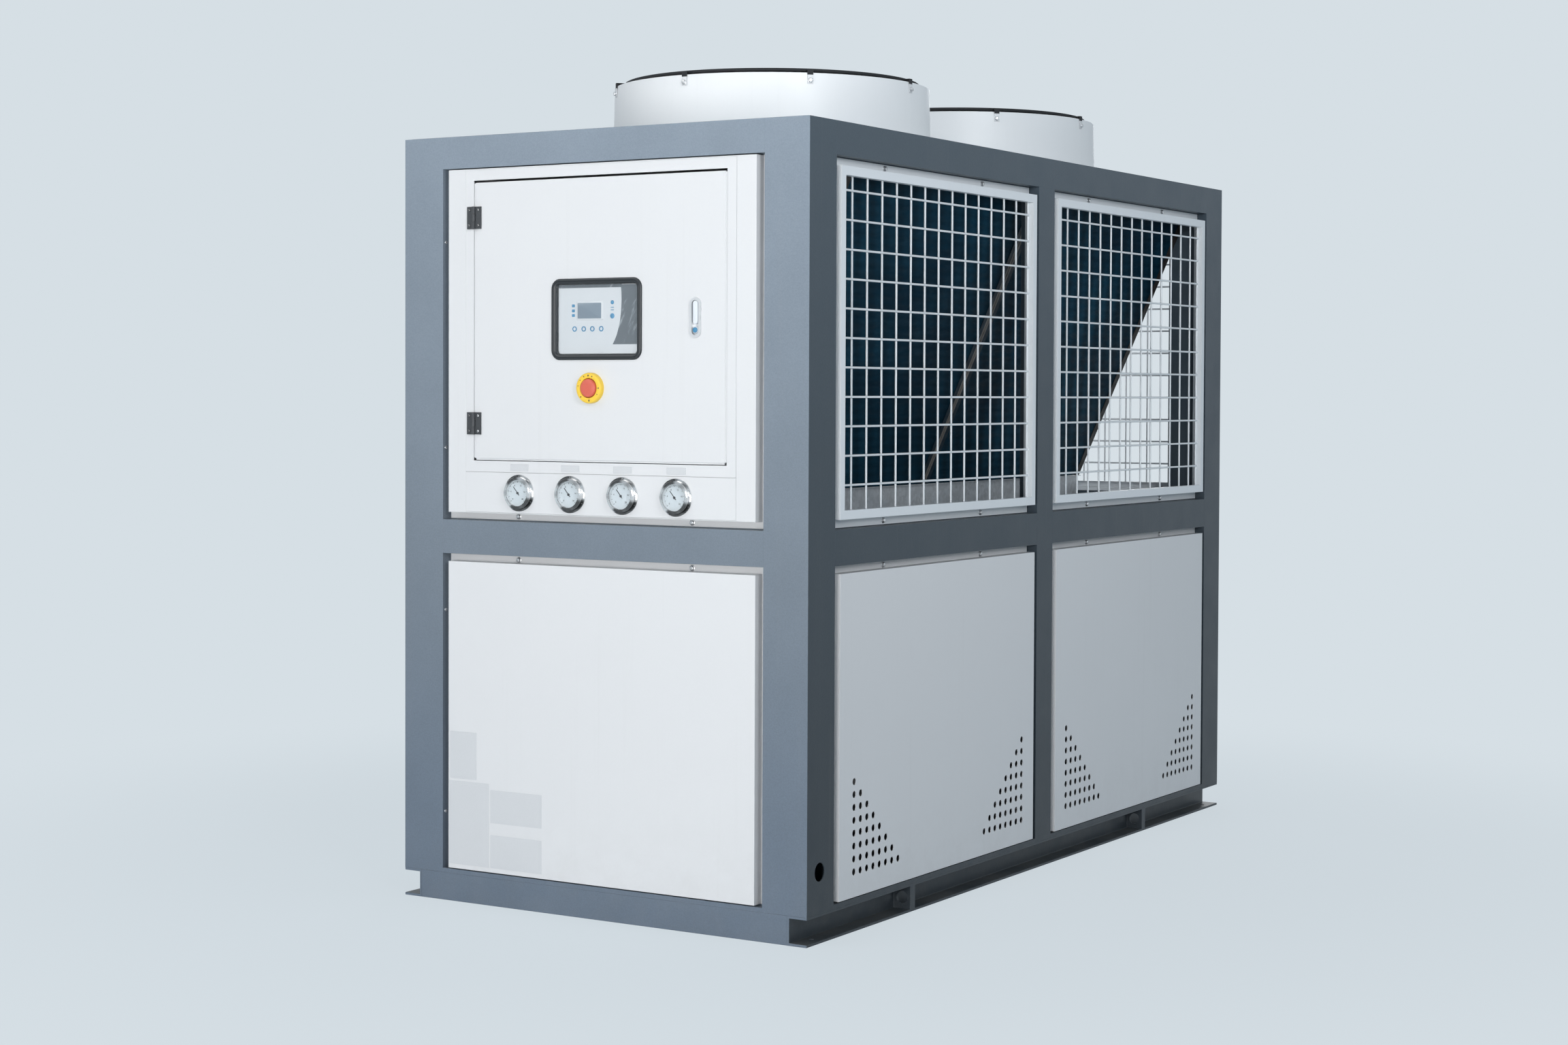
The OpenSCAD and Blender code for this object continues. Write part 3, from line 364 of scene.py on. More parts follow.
stopRed = painted("stopRed", {
    "colour": (0.68, 0.135, 0.09), "mottle": 0.04, "speckle": 0.05, "roughness": 0.36, "peel": 0.15,
    "wornAndHighlight": (0.84, 0.26, 0.20), "edge": 0.0012, "wearAndHighlight": 0.5, "settled": 0.08})
switchPlastic = painted("switchPlastic", {
    "colour": (0.05, 0.053, 0.058), "mottle": 0.05, "speckle": 0.1, "roughness": 0.4, "peel": 0.3,
    "wornAndHighlight": (0.14, 0.14, 0.15), "edge": 0.001, "wearAndHighlight": 0.3, "settled": 0.1})


def makeGuardRod():  # black dip over the rods, with the bolted ends of the tabs left bare
    spec = paintCommon | {
        "black": (0.022, 0.024, 0.027), "bare": (0.70, 0.715, 0.735), "below": 0.004, "fade": 0.002,
        "mottle": 0.08, "speckle": 0.1, "roughness": 0.66, "peel": 0.2, "wornAndHighlight": (0.10, 0.105, 0.11),
        "edge": 0.002, "wearAndHighlight": 0.4, "settled": 0.3, "specular": 0.25}
    material, tree, shader = newMaterial("guardRod", Specular_IOR_Level=spec["specular"])
    height = split(tree, objectCoords(tree))[2]
    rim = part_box("fan_shroud_front")[1].z - spec["below"]
    bare = ramp(tree, height, rim, rim - spec["fade"])
    colour = blend(tree, bare, (*spec["black"], 1), (*spec["bare"], 1))
    grain, aged = coated(tree, colour, spec)
    link(tree, shader.inputs, Base_Color=aged["Color"], Roughness=grain["Roughness"], Normal=grain["Normal"],
         Metallic=times(tree, bare, 0.3))
    return material


def makeZinc():  # galvanised sheet with its crystal spangle
    spec = {"colour": (0.56, 0.575, 0.595), "stain": (0.47, 0.50, 0.53), "cells": 105, "roughness": 0.38}
    material, tree, shader = newMaterial("zincSheet", Metallic=0.8)
    coords = objectCoords(tree)
    cells = addNode(tree, "TexVoronoi", {"Vector": coords, "Scale": spec["cells"]}).outputs["Color"]
    facet = addNode(tree, "SeparateColor", (cells,)).outputs[0]
    stain = noise(tree, coords, 9, 6, 0.62)
    tone = calc(tree, "MULTIPLY_ADD", facet, 0.22, calc(tree, "MULTIPLY_ADD", stain, 0.3, 0.72))
    base = blend(tree, ramp(tree, stain, 0.4, 0.7), (*spec["colour"], 1), (*spec["stain"], 1))
    # streaks down the zinc are dirt runs, and on the drip tray also painted shadow of the guard wires
    aged = useGroup(tree, weather, {"Color": scaled(tree, base, tone), "Settled": 0.4, "Splash": 0.1,
                                    "Height": 0.2, "Runs And Shadow Streaks": 0.12})
    rough = calc(tree, "MULTIPLY_ADD", aged["Mask"], 0.3, spec["roughness"])
    rough = calc(tree, "MULTIPLY_ADD", facet, 0.16, rough)
    link(tree, shader.inputs, Base_Color=aged["Color"], Roughness=rough,
         Normal=bump(tree, 0.06, 0.0006, facet))
    return material


def makeCoilFins():  # fine upright fins between rows of tubes, with a dark blue coat; darker between fins and rows as painted shade, lighter patches and slanting bands as painted reflection
    spec = {"finPitch": 0.0021, "bandPitch": 0.068, "dark": (0.003, 0.022, 0.041),
            "light": (0.007, 0.047, 0.080), "crushed": (0.016, 0.055, 0.084)}
    material, tree, shader = newMaterial("coilFins", Specular_IOR_Level=0.04)
    coords = objectCoords(tree)
    x, y, z = split(tree, coords)
    slope = calc(tree, "ADD", times(tree, calc(tree, "ABSOLUTE", x), math.sin(coils["lean"])),
                 times(tree, z, math.cos(coils["lean"])))
    fin = wave(tree, y, spec["finPitch"])
    row = wave(tree, slope, coils["tubePitch"])
    height = calc(tree, "MULTIPLY_ADD", row, 0.35, times(tree, fin, 0.5))
    patch = noise(tree, stretched(tree, coords, (3.2, 2.2, 3.2)), 1.0, 5, 0.6)
    crushed = noise(tree, stretched(tree, coords, (60, 14, 60)), 1.0, 4, 0.65)
    # lighter blue patches: painted reflection
    base = blend(tree, ramp(tree, patch, 0.34, 0.7), (*spec["dark"], 1), (*spec["light"], 1))
    base = blend(tree, times(tree, ramp(tree, crushed, 0.58, 0.74), 0.22), base, (*spec["crushed"], 1))
    # slanting bands: painted reflection
    reflectionBands = wave(tree, calc(tree, "MULTIPLY_ADD", slope, 0.7, y), spec["bandPitch"])
    reflectionBands = times(tree, reflectionBands, ramp(tree, patch, 0.3, 0.65, 0.05, 0.28))
    # colour darkened between fins and tube rows: painted shade
    tone = calc(tree, "MULTIPLY_ADD", height, 0.22, calc(tree, "ADD", reflectionBands, 0.86))
    rough = ramp(tree, crushed, 0.3, 0.7, 0.45, 0.62)
    link(tree, shader.inputs, Base_Color=scaled(tree, base, tone), Roughness=rough,
         Normal=bump(tree, 0.5, 0.0009, height))
    return material


def makeCoilTrim():  # coated end plates, a dull brownish grey along the joint between the coils and dark further out
    spec = {"coat": (0.006, 0.019, 0.032), "dull": (0.19, 0.175, 0.162), "end": (0.030, 0.026, 0.024),
            "joint": 0.009, "fade": 0.001}
    material, tree, shader = newMaterial("coilTrim", Specular_IOR_Level=0.2)
    low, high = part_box("coil_end_plates")
    coords = objectCoords(tree)
    away = calc(tree, "ABSOLUTE", calc(tree, "SUBTRACT", split(tree, coords)[1], (low.y + high.y) / 2))
    stain = ramp(tree, noise(tree, coords, 34, 5, 0.6), 0.3, 0.7, 0.7, 1.1)
    jointBand = ramp(tree, away, spec["joint"] + spec["fade"], spec["joint"])
    tone = blend(tree, jointBand, (*spec["coat"], 1), (*spec["dull"], 1))
    outer = calc(tree, "GREATER_THAN", away, (high.y - low.y) / 4)
    tone = blend(tree, outer, tone, (*spec["end"], 1))
    aged = useGroup(tree, weather, {"Color": scaled(tree, tone, stain), "Settled": 0.2, "Splash": 0.0,
                                    "Runs And Shadow Streaks": 0.08})
    link(tree, shader.inputs, Base_Color=aged["Color"], Roughness=ramp(tree, stain, 0.7, 1.1, 0.6, 0.45))
    return material


def paintedRingReflections(tree, coords, spec):  # painted reflection: darkens a row of rings by their angle, as dark reflections on the polished flanges
    spot = split(tree, coords)
    pitch = spec["pitch"]
    along = calc(tree, "FLOORED_MODULO", calc(tree, "ADD", spot[0], 2 * pitch), pitch)
    across = calc(tree, "SUBTRACT", along, pitch / 2)
    turn = calc(tree, "ARCTAN2", calc(tree, "SUBTRACT", spot[2], spec["up"]), across)
    broad = calc(tree, "SINE", calc(tree, "MULTIPLY_ADD", turn, 2.0, spec["start"]))
    narrow = calc(tree, "SINE", calc(tree, "MULTIPLY_ADD", turn, 5.0, 1.1))
    return ramp(tree, calc(tree, "MULTIPLY_ADD", narrow, 0.6, broad), -0.7, 0.75, spec["dark"], 1.0)


def metal(name, spec):  # polished or brushed metal with hairlines and a little dirt
    material, tree, shader = newMaterial(name, Metallic=1.0)
    coords = objectCoords(tree)
    hair = useGroup(tree, scratches, {"Scale": spec["scratchScale"], "Amount": spec["scratch"]})["Mask"]
    cloud = noise(tree, coords, spec["cloudScale"], 5, 0.6)
    base = blend(tree, ramp(tree, cloud, 0.35, 0.72), (*spec["colour"], 1), (*spec["tarnish"], 1))
    # dark bands by angle round each ring: painted reflection
    if "ringReflections" in spec:
        base = scaled(tree, base, paintedRingReflections(tree, coords, spec["ringReflections"]))
    rough = ramp(tree, cloud, 0.3, 0.75, spec["smooth"], spec["dull"])
    rough = calc(tree, "ADD", rough, times(tree, hair, 0.3))
    brushed = noise(tree, stretched(tree, coords, spec["brush"]), 1.0, 3)
    link(tree, shader.inputs, Base_Color=base, Roughness=rough,
         Normal=bump(tree, spec["bump"], 0.0002, brushed))
    return material


zincSheet = makeZinc()
guardRod = makeGuardRod()
coilTrim = makeCoilTrim()
coilFins = makeCoilFins()
gaugeSteel = metal("gaugeSteel", {
    "colour": (0.80, 0.81, 0.82), "tarnish": (0.66, 0.66, 0.66), "smooth": 0.10, "dull": 0.22,
    "scratch": 0.4, "scratchScale": 6.0, "cloudScale": 60, "bump": 0.05, "brush": (900, 900, 60),
    "ringReflections": {"pitch": unit["gaugePitch"], "up": gaugeUp, "start": 0.9, "dark": 0.16}})
lockMetal = metal("lockMetal", {
    "colour": (0.75, 0.76, 0.775), "tarnish": (0.65, 0.66, 0.675), "smooth": 0.34, "dull": 0.48,
    "scratch": 0.5, "scratchScale": 5.0, "cloudScale": 45, "bump": 0.12, "brush": (1400, 1400, 80)})
screwZinc = metal("screwZinc", {
    "colour": (0.68, 0.69, 0.71), "tarnish": (0.44, 0.45, 0.46), "smooth": 0.24, "dull": 0.45,
    "scratch": 0.5, "scratchScale": 8.0, "cloudScale": 160, "bump": 0.15, "brush": (700, 700, 700)})
bentCopper = metal("bentCopper", {
    "colour": (0.60, 0.30, 0.19), "tarnish": (0.25, 0.125, 0.085), "smooth": 0.3, "dull": 0.55,
    "scratch": 0.3, "scratchScale": 4.0, "cloudScale": 30, "bump": 0.1, "brush": (300, 300, 300)})


def makeDialFace():  # white enamel, the raised needle and its boss are black
    spec = {"needleOut": 0.0012, "white": (0.70, 0.735, 0.765), "dulled": (0.66, 0.69, 0.71),
            "ink": (0.02, 0.021, 0.024)}
    material, tree, shader = newMaterial("dialFace")
    coords = objectCoords(tree)
    raised = calc(tree, "LESS_THAN", split(tree, coords)[1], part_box("gauge_dials")[0].y + spec["needleOut"])
    mottled = blend(tree, noise(tree, coords, 90, 4), (*spec["white"], 1), (*spec["dulled"], 1))
    link(tree, shader.inputs, Base_Color=blend(tree, raised, mottled, (*spec["ink"], 1)),
         Roughness=ramp(tree, noise(tree, coords, 140, 3), 0.3, 0.7, 0.34, 0.5))
    return material


def makeClearGlass():  # lets the lamps through, so what lies behind it stays lit
    material, tree, shader = newMaterial("clearGlass", Transmission_Weight=1.0, IOR=1.45,
                                         Base_Color=(0.97, 0.985, 0.99, 1))
    smear = noise(tree, stretched(tree, objectCoords(tree), (14, 14, 5)), 1.0, 6, 0.65)
    link(tree, shader.inputs, Roughness=ramp(tree, smear, 0.2, 0.9, 0.004, 0.02))
    clear = addNode(tree, "BsdfTransparent", {"Color": (0.95, 0.965, 0.97, 1)})
    rays = addNode(tree, "LightPath").outputs
    through = calc(tree, "MAXIMUM", rays["Is Shadow Ray"], rays["Is Diffuse Ray"])
    mixed = addNode(tree, "MixShader", (through, shader.outputs[0], clear.outputs[0]))
    link(tree, tree.nodes["Material Output"].inputs, Surface=mixed.outputs[0])
    return material


def plainPrint(name, spec):  # printed or moulded trim with a slight mottle
    material, tree, shader = newMaterial(name)
    colour = (*spec["colour"], 1)
    if "filmReflection" in spec:  # creased film left on, with pale slanting streaks that are painted reflections on it
        slanted = addNode(tree, "Mapping", {"Vector": objectCoords(tree), "Rotation": (0, 0.5, 0),
                                            "Scale": (0.012, 0.012, 0.07)}, vector_type="TEXTURE").outputs[0]
        streak = ramp(tree, noise(tree, slanted, 1.0, 6, 0.68), 0.55, 0.68, 0.0, 0.6)
        colour = blend(tree, streak, colour, (*spec["filmReflection"], 1))
    grain = useGroup(tree, paintGrain, {"Color": colour, "Mottle": spec["mottle"], "Speckle": 0.03,
                                        "Roughness": spec["roughness"], "Peel": spec["peel"]})
    link(tree, shader.inputs, Base_Color=grain["Color"], Roughness=grain["Roughness"],
         Normal=grain["Normal"])
    return material


dialFace = makeDialFace()
clearGlass = makeClearGlass()
labelPaper = plainPrint("labelPaper", {
    "colour": (0.635, 0.645, 0.66), "mottle": 0.03, "roughness": 0.36, "peel": 0.15})
inkBlack = plainPrint("inkBlack", {
    "colour": (0.03, 0.032, 0.036), "mottle": 0.1, "roughness": 0.4, "peel": 0.1})
# pale streaks over the dark field: painted reflection on the film
faceDark = plainPrint("faceDark", {
    "colour": (0.112, 0.128, 0.145), "filmReflection": (0.46, 0.49, 0.51), "mottle": 0.05, "roughness": 0.42,
    "peel": 0.1})
facePale = plainPrint("facePale", {
    "colour": (0.70, 0.70, 0.715), "mottle": 0.015, "roughness": 0.42, "peel": 0.1})
displayGrey = plainPrint("displayGrey", {
    "colour": (0.215, 0.26, 0.31), "mottle": 0.06, "roughness": 0.16, "peel": 0.05})
keyBlue = plainPrint("keyBlue", {
    "colour": (0.06, 0.24, 0.42), "mottle": 0.05, "roughness": 0.4, "peel": 0.1})
print("finishes mixed,", len(bpy.data.materials), "materials")

# each finish with the nodes that it covers
finishes = [
    (framePaint, ["base_side_channels", "base_end_channels", "base_cross_members", "corner_posts",
                  "middle_posts", "top_rails", "middle_rails", "sills"]),
    (panelPaint, ["front_panel", "back_panel", "right_panels", "left_panels", "control_surround",
                  "control_cabinet", "cabinet_door", "gauge_plate"]),
    (shroudPaint, ["fan_shroud_front", "fan_shroud_rear"]),
    (guardPaint, ["right_guards", "left_guards", "back_guard"]),
    (zincSheet, ["roof_deck", "floor_deck", "middle_deck", "drip_tray", "coil_baffles", "mounting_plate"]),
    (coilTrim, ["coil_end_plates"]),
    (coilFins, ["right_coils", "left_coils"]),
    (guardRod, ["fan_guard_front", "fan_guard_rear"]),
    (fanBlack, ["fan_motors", "fan_rotor_front", "fan_rotor_rear"]),
    (gaugeSteel, ["gauge_cases"]),
    (dialFace, ["gauge_dials"]),
    (clearGlass, ["gauge_glasses", "window_pane"]),
    (hingeBlack, ["hinge_frame_leaves", "hinge_door_leaves"]),
    (gasketRubber, ["window_gasket"]),
    (shellPlastic, ["controller"]),
    (lockMetal, ["door_lock"]),
    (stopYellow, ["stop_disc"]),
    (switchPlastic, ["stop_switch"]),
    (stopRed, ["stop_button"]),
]
for finish, names in finishes:
    for name in names:
        slots = nodes[name].data.materials
        slots.clear()
        slots.append(finish)

# folded sheet and welded tube have small round edges
softEdges = [
    (0.0004, ["corner_posts", "middle_posts", "top_rails", "middle_rails"]),
    (0.0005, ["hinge_frame_leaves", "hinge_door_leaves"]),
    (0.0006, ["gauge_plate"]),
    (0.001, ["controller"]),
    (0.0012, ["base_side_channels", "base_end_channels", "front_panel", "back_panel", "control_surround",
              "cabinet_door"]),
]
softening = {"weld": 0.00002, "segments": 2, "angle": 40}


def soften(node, width):
    node.modifiers.new("weld", "WELD").merge_threshold = softening["weld"]
    edge = node.modifiers.new("softEdge", "BEVEL")
    edge.width, edge.segments, edge.limit_method = width, softening["segments"], "ANGLE"
    edge.angle_limit = math.radians(softening["angle"])
    node.modifiers.new("evenShade", "WEIGHTED_NORMAL").keep_sharp = True


for width, names in softEdges:
    for name in names:
        soften(nodes[name], width)
print("nodes dressed")


# mesh tools
def ringOf(count, radius, turn=0.0):
    angles = [turn + 2 * math.pi * k / count for k in range(count)]
    return lambda inset: [((radius - inset) * math.cos(a), (radius - inset) * math.sin(a)) for a in angles]


def roundedBox(width, height, radius, steps=6):
    def outline(inset):
        corner = max(radius - inset, 0.0001)
        halfX, halfY = width / 2 - inset - corner, height / 2 - inset - corner
        return [(cx * halfX + corner * math.cos(math.radians(start + 90 * k / steps)),
                 cy * halfY + corner * math.sin(math.radians(start + 90 * k / steps)))
                for cx, cy, start in ((1, 1, 0), (-1, 1, 90), (-1, -1, 180), (1, -1, 270))
                for k in range(steps + 1)]
    return outline


def addRing(bm, place, points, height):
    return [bm.verts.new(place @ Vector((x, y, height))) for x, y in points]


def joinRings(bm, rings):  # a ring of one point makes a tip
    for first, second in zip(rings, rings[1:]):
        for k in range(max(len(first), len(second))):
            spots = ((first, k), (first, k + 1), (second, k + 1), (second, k))
            corners = list(dict.fromkeys(ring[n % len(ring)] for ring, n in spots))
            if len(corners) > 2:
                bm.faces.new(corners)


def capRings(bm, rings):
    bm.faces.new(rings[0][::-1])
    bm.faces.new(rings[-1])


def revolve(bm, place, profile, count=24):  # profile of (radius, height) from the foot up
    joinRings(bm, [addRing(bm, place, ringOf(count if radius else 1, radius)(0), height)
                   for radius, height in profile])


def stack(bm, place, outline, steps):  # outline(inset) gives points, steps are (inset, height)
    rings = [addRing(bm, place, outline(inset), height) for inset, height in steps]
    capRings(bm, rings)
    joinRings(bm, rings)


def trimRing(bm, place, outline, section):  # section of (inset, height), carried round the outline
    rings = [addRing(bm, place, outline(inset), height) for inset, height in section]
    joinRings(bm, rings + rings[:1])


def mergeDoubles(bm):
    bmesh.ops.remove_doubles(bm, verts=bm.verts, dist=1e-6)


def piece(name, body, material, bm, smooth=40):
    mesh = bpy.data.meshes.new(name)
    bm.to_mesh(mesh)
    bm.free()
    mesh.shade_smooth()
    mesh.set_sharp_from_angle(angle=math.radians(smooth))
    mesh.materials.append(material)
    made = bpy.data.objects.new(name, mesh)
    bpy.context.scene.collection.objects.link(made)
    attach(made, body)
    return made


def hexBolt(bm, place, spec):  # washer, six-sided head, turned a little, with a domed crown
    washer, flat, height, thin = spec["washer"], spec["head"], spec["height"], spec["thin"]
    revolve(bm, place, [(0, 0), (washer, 0), (washer, thin * 0.7), (washer - thin * 0.4, thin), (0, thin)])
    head = place @ Matrix.Translation((0, 0, thin))
    stack(bm, head, ringOf(6, flat, 0.3), [(0, 0), (0, height * 0.8), (flat * 0.12, height)])
    crown = head @ Matrix.Translation((0, 0, height))
    revolve(bm, crown, [(0, -0.0004), (flat * 0.8, -0.0004), (flat * 0.8, 0.0001), (flat * 0.62, 0.0004),
                        (0, 0.0005)])


def panScrew(bm, place, spec):  # low domed head with a round recess
    radius, height = spec["radius"], spec["height"]
    dome = [(radius * math.cos(math.radians(a)), height * (0.35 + 0.65 * math.sin(math.radians(a))))
            for a in (0, 25, 50, 70)]
    dip = radius * 0.3
    recess = [(dip, height), (dip * 0.8, height * 0.55), (0, height * 0.5)]
    revolve(bm, place, [(0, 0), (radius, 0), *dome, *recess], 20)


# screws along the panels' and guards' flanges
panelScrews = {"washer": 0.0068, "head": 0.0056, "height": 0.0042, "thin": 0.0012, "fromEdge": 0.009,
               "endAcross": 0.243, "bayShare": 0.24}


def flangeScrews():
    bm = bmesh.new()
    flange = unit["lipDepth"] - unit["sheet"]
    edge = panelScrews["fromEdge"]
    guardLow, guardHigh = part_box("right_guards")
    for side, spans in openSpans.items():
        heights = [panelHigh.z - edge, guardLow.z + edge]
        if side != "front":
            heights.append(guardHigh.z - edge)
        for start, end in spans:
            reach = (end - start) * panelScrews["bayShare"]
            if spans is endSpans:
                reach = panelScrews["endAcross"]
            for up in heights:
                for way in (-1, 1):
                    hexBolt(bm, placeOn(side, (start + end) / 2 + way * reach, up, flange), panelScrews)
    piece("panel_screws", "chiller", screwZinc, bm)


flangeScrews()

# small screws through the posts' inner walls, beside the end panels
stileScrews = {"radius": 0.0042, "height": 0.0026, "depth": 0.0105, "upper": (1.56, 1.075),
               "lower": (0.69, 0.21)}


def sideScrews():
    bm = bmesh.new()
    for side in ("front", "back"):
        for up in stileScrews["lower"] + (stileScrews["upper"] if side == "front" else ()):
            for way in (-1, 1):
                wall = placeOn(side, way * (halfWide - unit["post"]), up, stileScrews["depth"])
                panScrew(bm, wall @ Matrix.Rotation(-way * math.pi / 2, 4, "Y"), stileScrews)
    piece("stile_screws", "chiller", screwZinc, bm)


sideScrews()

# bolts through the fan guards' tabs
tabBolts = {"washer": 0.0066, "head": 0.0052, "height": 0.0044, "thin": 0.0012, "count": 8, "fromRim": 0.018}


def guardBolts(name):
    bm = bmesh.new()
    guardLow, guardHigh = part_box("fan_guard_" + name)
    middle = (guardLow + guardHigh) / 2
    middle.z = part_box("fan_shroud_" + name)[1].z - tabBolts["fromRim"]
    reach = (guardHigh.x - guardLow.x) / 2
    for k in range(tabBolts["count"]):
        turn = 2 * math.pi * k / tabBolts["count"]
        out = Vector((math.cos(turn), math.sin(turn), 0))
        across = Vector((-math.sin(turn), math.cos(turn), 0))
        hexBolt(bm, axesAt(middle + out * reach, across, upAxis, out), tabBolts)
    piece("guard_bolts_" + name, "chiller", screwZinc, bm)


for fan in ("front", "rear"):
    guardBolts(fan)
print("fasteners set")

# gauges in the plate under the door, with ticks by their start as a share of the dial, and their width
gauges = {"across": [unit["gaugePitch"] * k for k in (-1.5, -0.5, 0.5, 1.5)], "dial": 0.0305, "thick": 0.002,
          "from": 225, "sweep": 270, "majors": 10, "minors": 5, "major": (0.80, 0.0008),
          "minor": (0.865, 0.0004), "tickEnd": 0.93, "numeral": 0.0052, "numeralAt": 0.64, "numeralStep": 4,
          "ink": 0.00025}


def numeralMesh(text):
    curve = bpy.data.curves.new("numeral", "FONT")
    curve.body, curve.size, curve.align_x, curve.align_y = text, gauges["numeral"], "CENTER", "CENTER"
    curve.resolution_u, curve.extrude = 2, gauges["ink"] / 2
    holder = bpy.data.objects.new("numeral", curve)
    bpy.context.scene.collection.objects.link(holder)
    bpy.context.view_layer.update()
    mesh = bpy.data.meshes.new_from_object(holder.evaluated_get(bpy.context.evaluated_depsgraph_get()))
    bpy.data.objects.remove(holder)
    bpy.data.curves.remove(curve)
    bm = bmesh.new()
    bm.from_mesh(mesh)
    mergeDoubles(bm)
    bm.to_mesh(mesh)
    bm.free()
    return mesh


def addMesh(bm, mesh, place):
    before = len(bm.verts)
    bm.from_mesh(mesh)
    bm.verts.ensure_lookup_table()
    bmesh.ops.transform(bm, matrix=place, verts=bm.verts[before:])


def tick(bm, place, turn, inner, outer, width):
    spin = place @ Matrix.Rotation(turn, 4, "Z") @ Matrix.Translation(((inner + outer) / 2, 0, 0))
    stack(bm, spin, roundedBox(outer - inner, width, width * 0.2, 2),
          [(0, -gauges["ink"]), (0, gauges["ink"])])


def gaugeMarks():
    bm = bmesh.new()
    dial, minors = gauges["dial"], gauges["minors"]
    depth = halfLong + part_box("gauge_dials")[1].y - gauges["thick"]
    count = gauges["majors"] * minors
    numerals = [numeralMesh(str(n * gauges["numeralStep"])) for n in range(gauges["majors"] // 2 + 1)]
    for across in gauges["across"]:
        place = placeOn("front", across, gaugeUp, depth)
        for n in range(count + 1):
            turn = math.radians(gauges["from"] - gauges["sweep"] * n / count)
            start, width = gauges["minor" if n % minors else "major"]
            tick(bm, place, turn, dial * start, dial * gauges["tickEnd"], width)
            if n % (2 * minors) == 0:
                reach = dial * gauges["numeralAt"]
                spot = Matrix.Translation((reach * math.cos(turn), reach * math.sin(turn), 0))
                addMesh(bm, numerals[n // (2 * minors)], place @ spot)
    for mesh in numerals:
        bpy.data.meshes.remove(mesh)
    piece("gauge_scales", "chiller", inkBlack, bm, 30)


gaugeMarks()

# screws through the gauges' flanges
gaugeScrews = {"radius": 0.0024, "height": 0.0016, "count": 3, "out": 0.0398, "flange": 0.0015}


def gaugeFlangeScrews():
    bm = bmesh.new()
    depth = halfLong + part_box("gauge_plate")[0].y - gaugeScrews["flange"]
    for across in gauges["across"]:
        for x, y in ringOf(gaugeScrews["count"], gaugeScrews["out"], math.pi / 2)(0):
            panScrew(bm, placeOn("front", across + x, gaugeUp + y, depth), gaugeScrews)
    piece("gauge_screws", "chiller", screwZinc, bm)


gaugeFlangeScrews()
print("gauges marked")

# bare label plates, each a backing with a slightly smaller sheet on it
labels = {"thick": 0.0006, "sunk": 0.0002, "round": 0.0015, "sheet": (0.94, 0.92), "gauge": (0.052, 0.016),
          "gaugeUp": 0.0115, "panel": ((-0.3835, 0.349, 0.079, 0.112), (-0.366, 0.189, 0.118, 0.198),
                                       (-0.228, 0.235, 0.150, 0.078), (-0.228, 0.129, 0.150, 0.078))}


def labelSet(name, spots, depth):  # spots are (across, up, width, height)
    bm = bmesh.new()
    thick, (wideShare, highShare) = labels["thick"], labels["sheet"]
    for across, up, width, height in spots:
        place = placeOn("front", across, up, depth)
        stack(bm, place, roundedBox(width, height, labels["round"], 3),
              [(0, -labels["sunk"]), (0, thick * 0.6), (thick * 0.5, thick)])
        stack(bm, place, roundedBox(width * wideShare, height * highShare, labels["round"] * 0.6, 3),
              [(0, 0), (0, thick * 1.2), (thick * 0.4, thick * 1.5)])
    piece(name, "chiller", labelPaper, bm, 30)


gaugeLabelUp = cabinetLow.z + labels["gaugeUp"]
labelSet("gauge_labels", [(across, gaugeLabelUp, *labels["gauge"]) for across in gauges["across"]],
         halfLong + cabinetLow.y)
labelSet("panel_labels", labels["panel"], faceDepth)
print("labels laid")

# pale strips down both edges of the door and along its foot, painted light in the gaps where lit door edges
# show, each strip by width, rounding and softened rim
doorGapLight = {"side": (0.0042, 0.0015, 0.0005), "foot": (0.0034, 0.001, 0.0004), "behind": 0.0009,
            "thick": 0.005, "crest": 0.0008, "short": 0.003}


def doorGapLightStrips():
    bm = bmesh.new()
    side, sideRound, sideSoft = doorGapLight["side"]
    foot, footRound, footSoft = doorGapLight["foot"]
    upright = roundedBox(side, doorHigh.z - doorLow.z - doorGapLight["short"], sideRound, 4)
    level = roundedBox(doorHigh.x - doorLow.x - doorGapLight["short"], foot, footRound, 4)
    for across, up, outline, soft in (
            (doorLow.x - side / 2, doorMid, upright, sideSoft),
            (doorHigh.x + side / 2, doorMid, upright, sideSoft),
            ((doorLow.x + doorHigh.x) / 2, doorLow.z - foot / 2, level, footSoft)):
        stack(bm, placeOn("front", across, up, faceDepth + doorGapLight["behind"]), outline,
              [(0, -doorGapLight["thick"]), (0, -doorGapLight["crest"]), (soft, 0)])
    piece("door_gap_light", "door", panelPaint, bm, 30)


doorGapLightStrips()

# hinge screws, on the leaf that each holds, the pin lies midway in the gap beside the door
hingeScrews = {"radius": 0.0032, "height": 0.0012, "pinOut": 0.0025, "outAcross": 0.0135, "upDown": 0.018,
               "leafHalf": 0.026, "faceBehind": 0.0045}


def hingeFixings(name, body, node, way):
    bm = bmesh.new()
    leafLow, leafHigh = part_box(node)
    across = doorLow.x - hingeScrews["pinOut"] + way * hingeScrews["outAcross"]
    depth = halfLong + leafLow.y + hingeScrews["faceBehind"]
    for middle in (leafLow.z + hingeScrews["leafHalf"], leafHigh.z - hingeScrews["leafHalf"]):
        for rise in (-hingeScrews["upDown"], hingeScrews["upDown"]):
            panScrew(bm, placeOn("front", across, middle + rise, depth), hingeScrews)
    piece(name, body, gaugeSteel, bm)


hingeFixings("hinge_screws_frame", "chiller", "hinge_frame_leaves", -1)
hingeFixings("hinge_screws_door", "door", "hinge_door_leaves", 1)

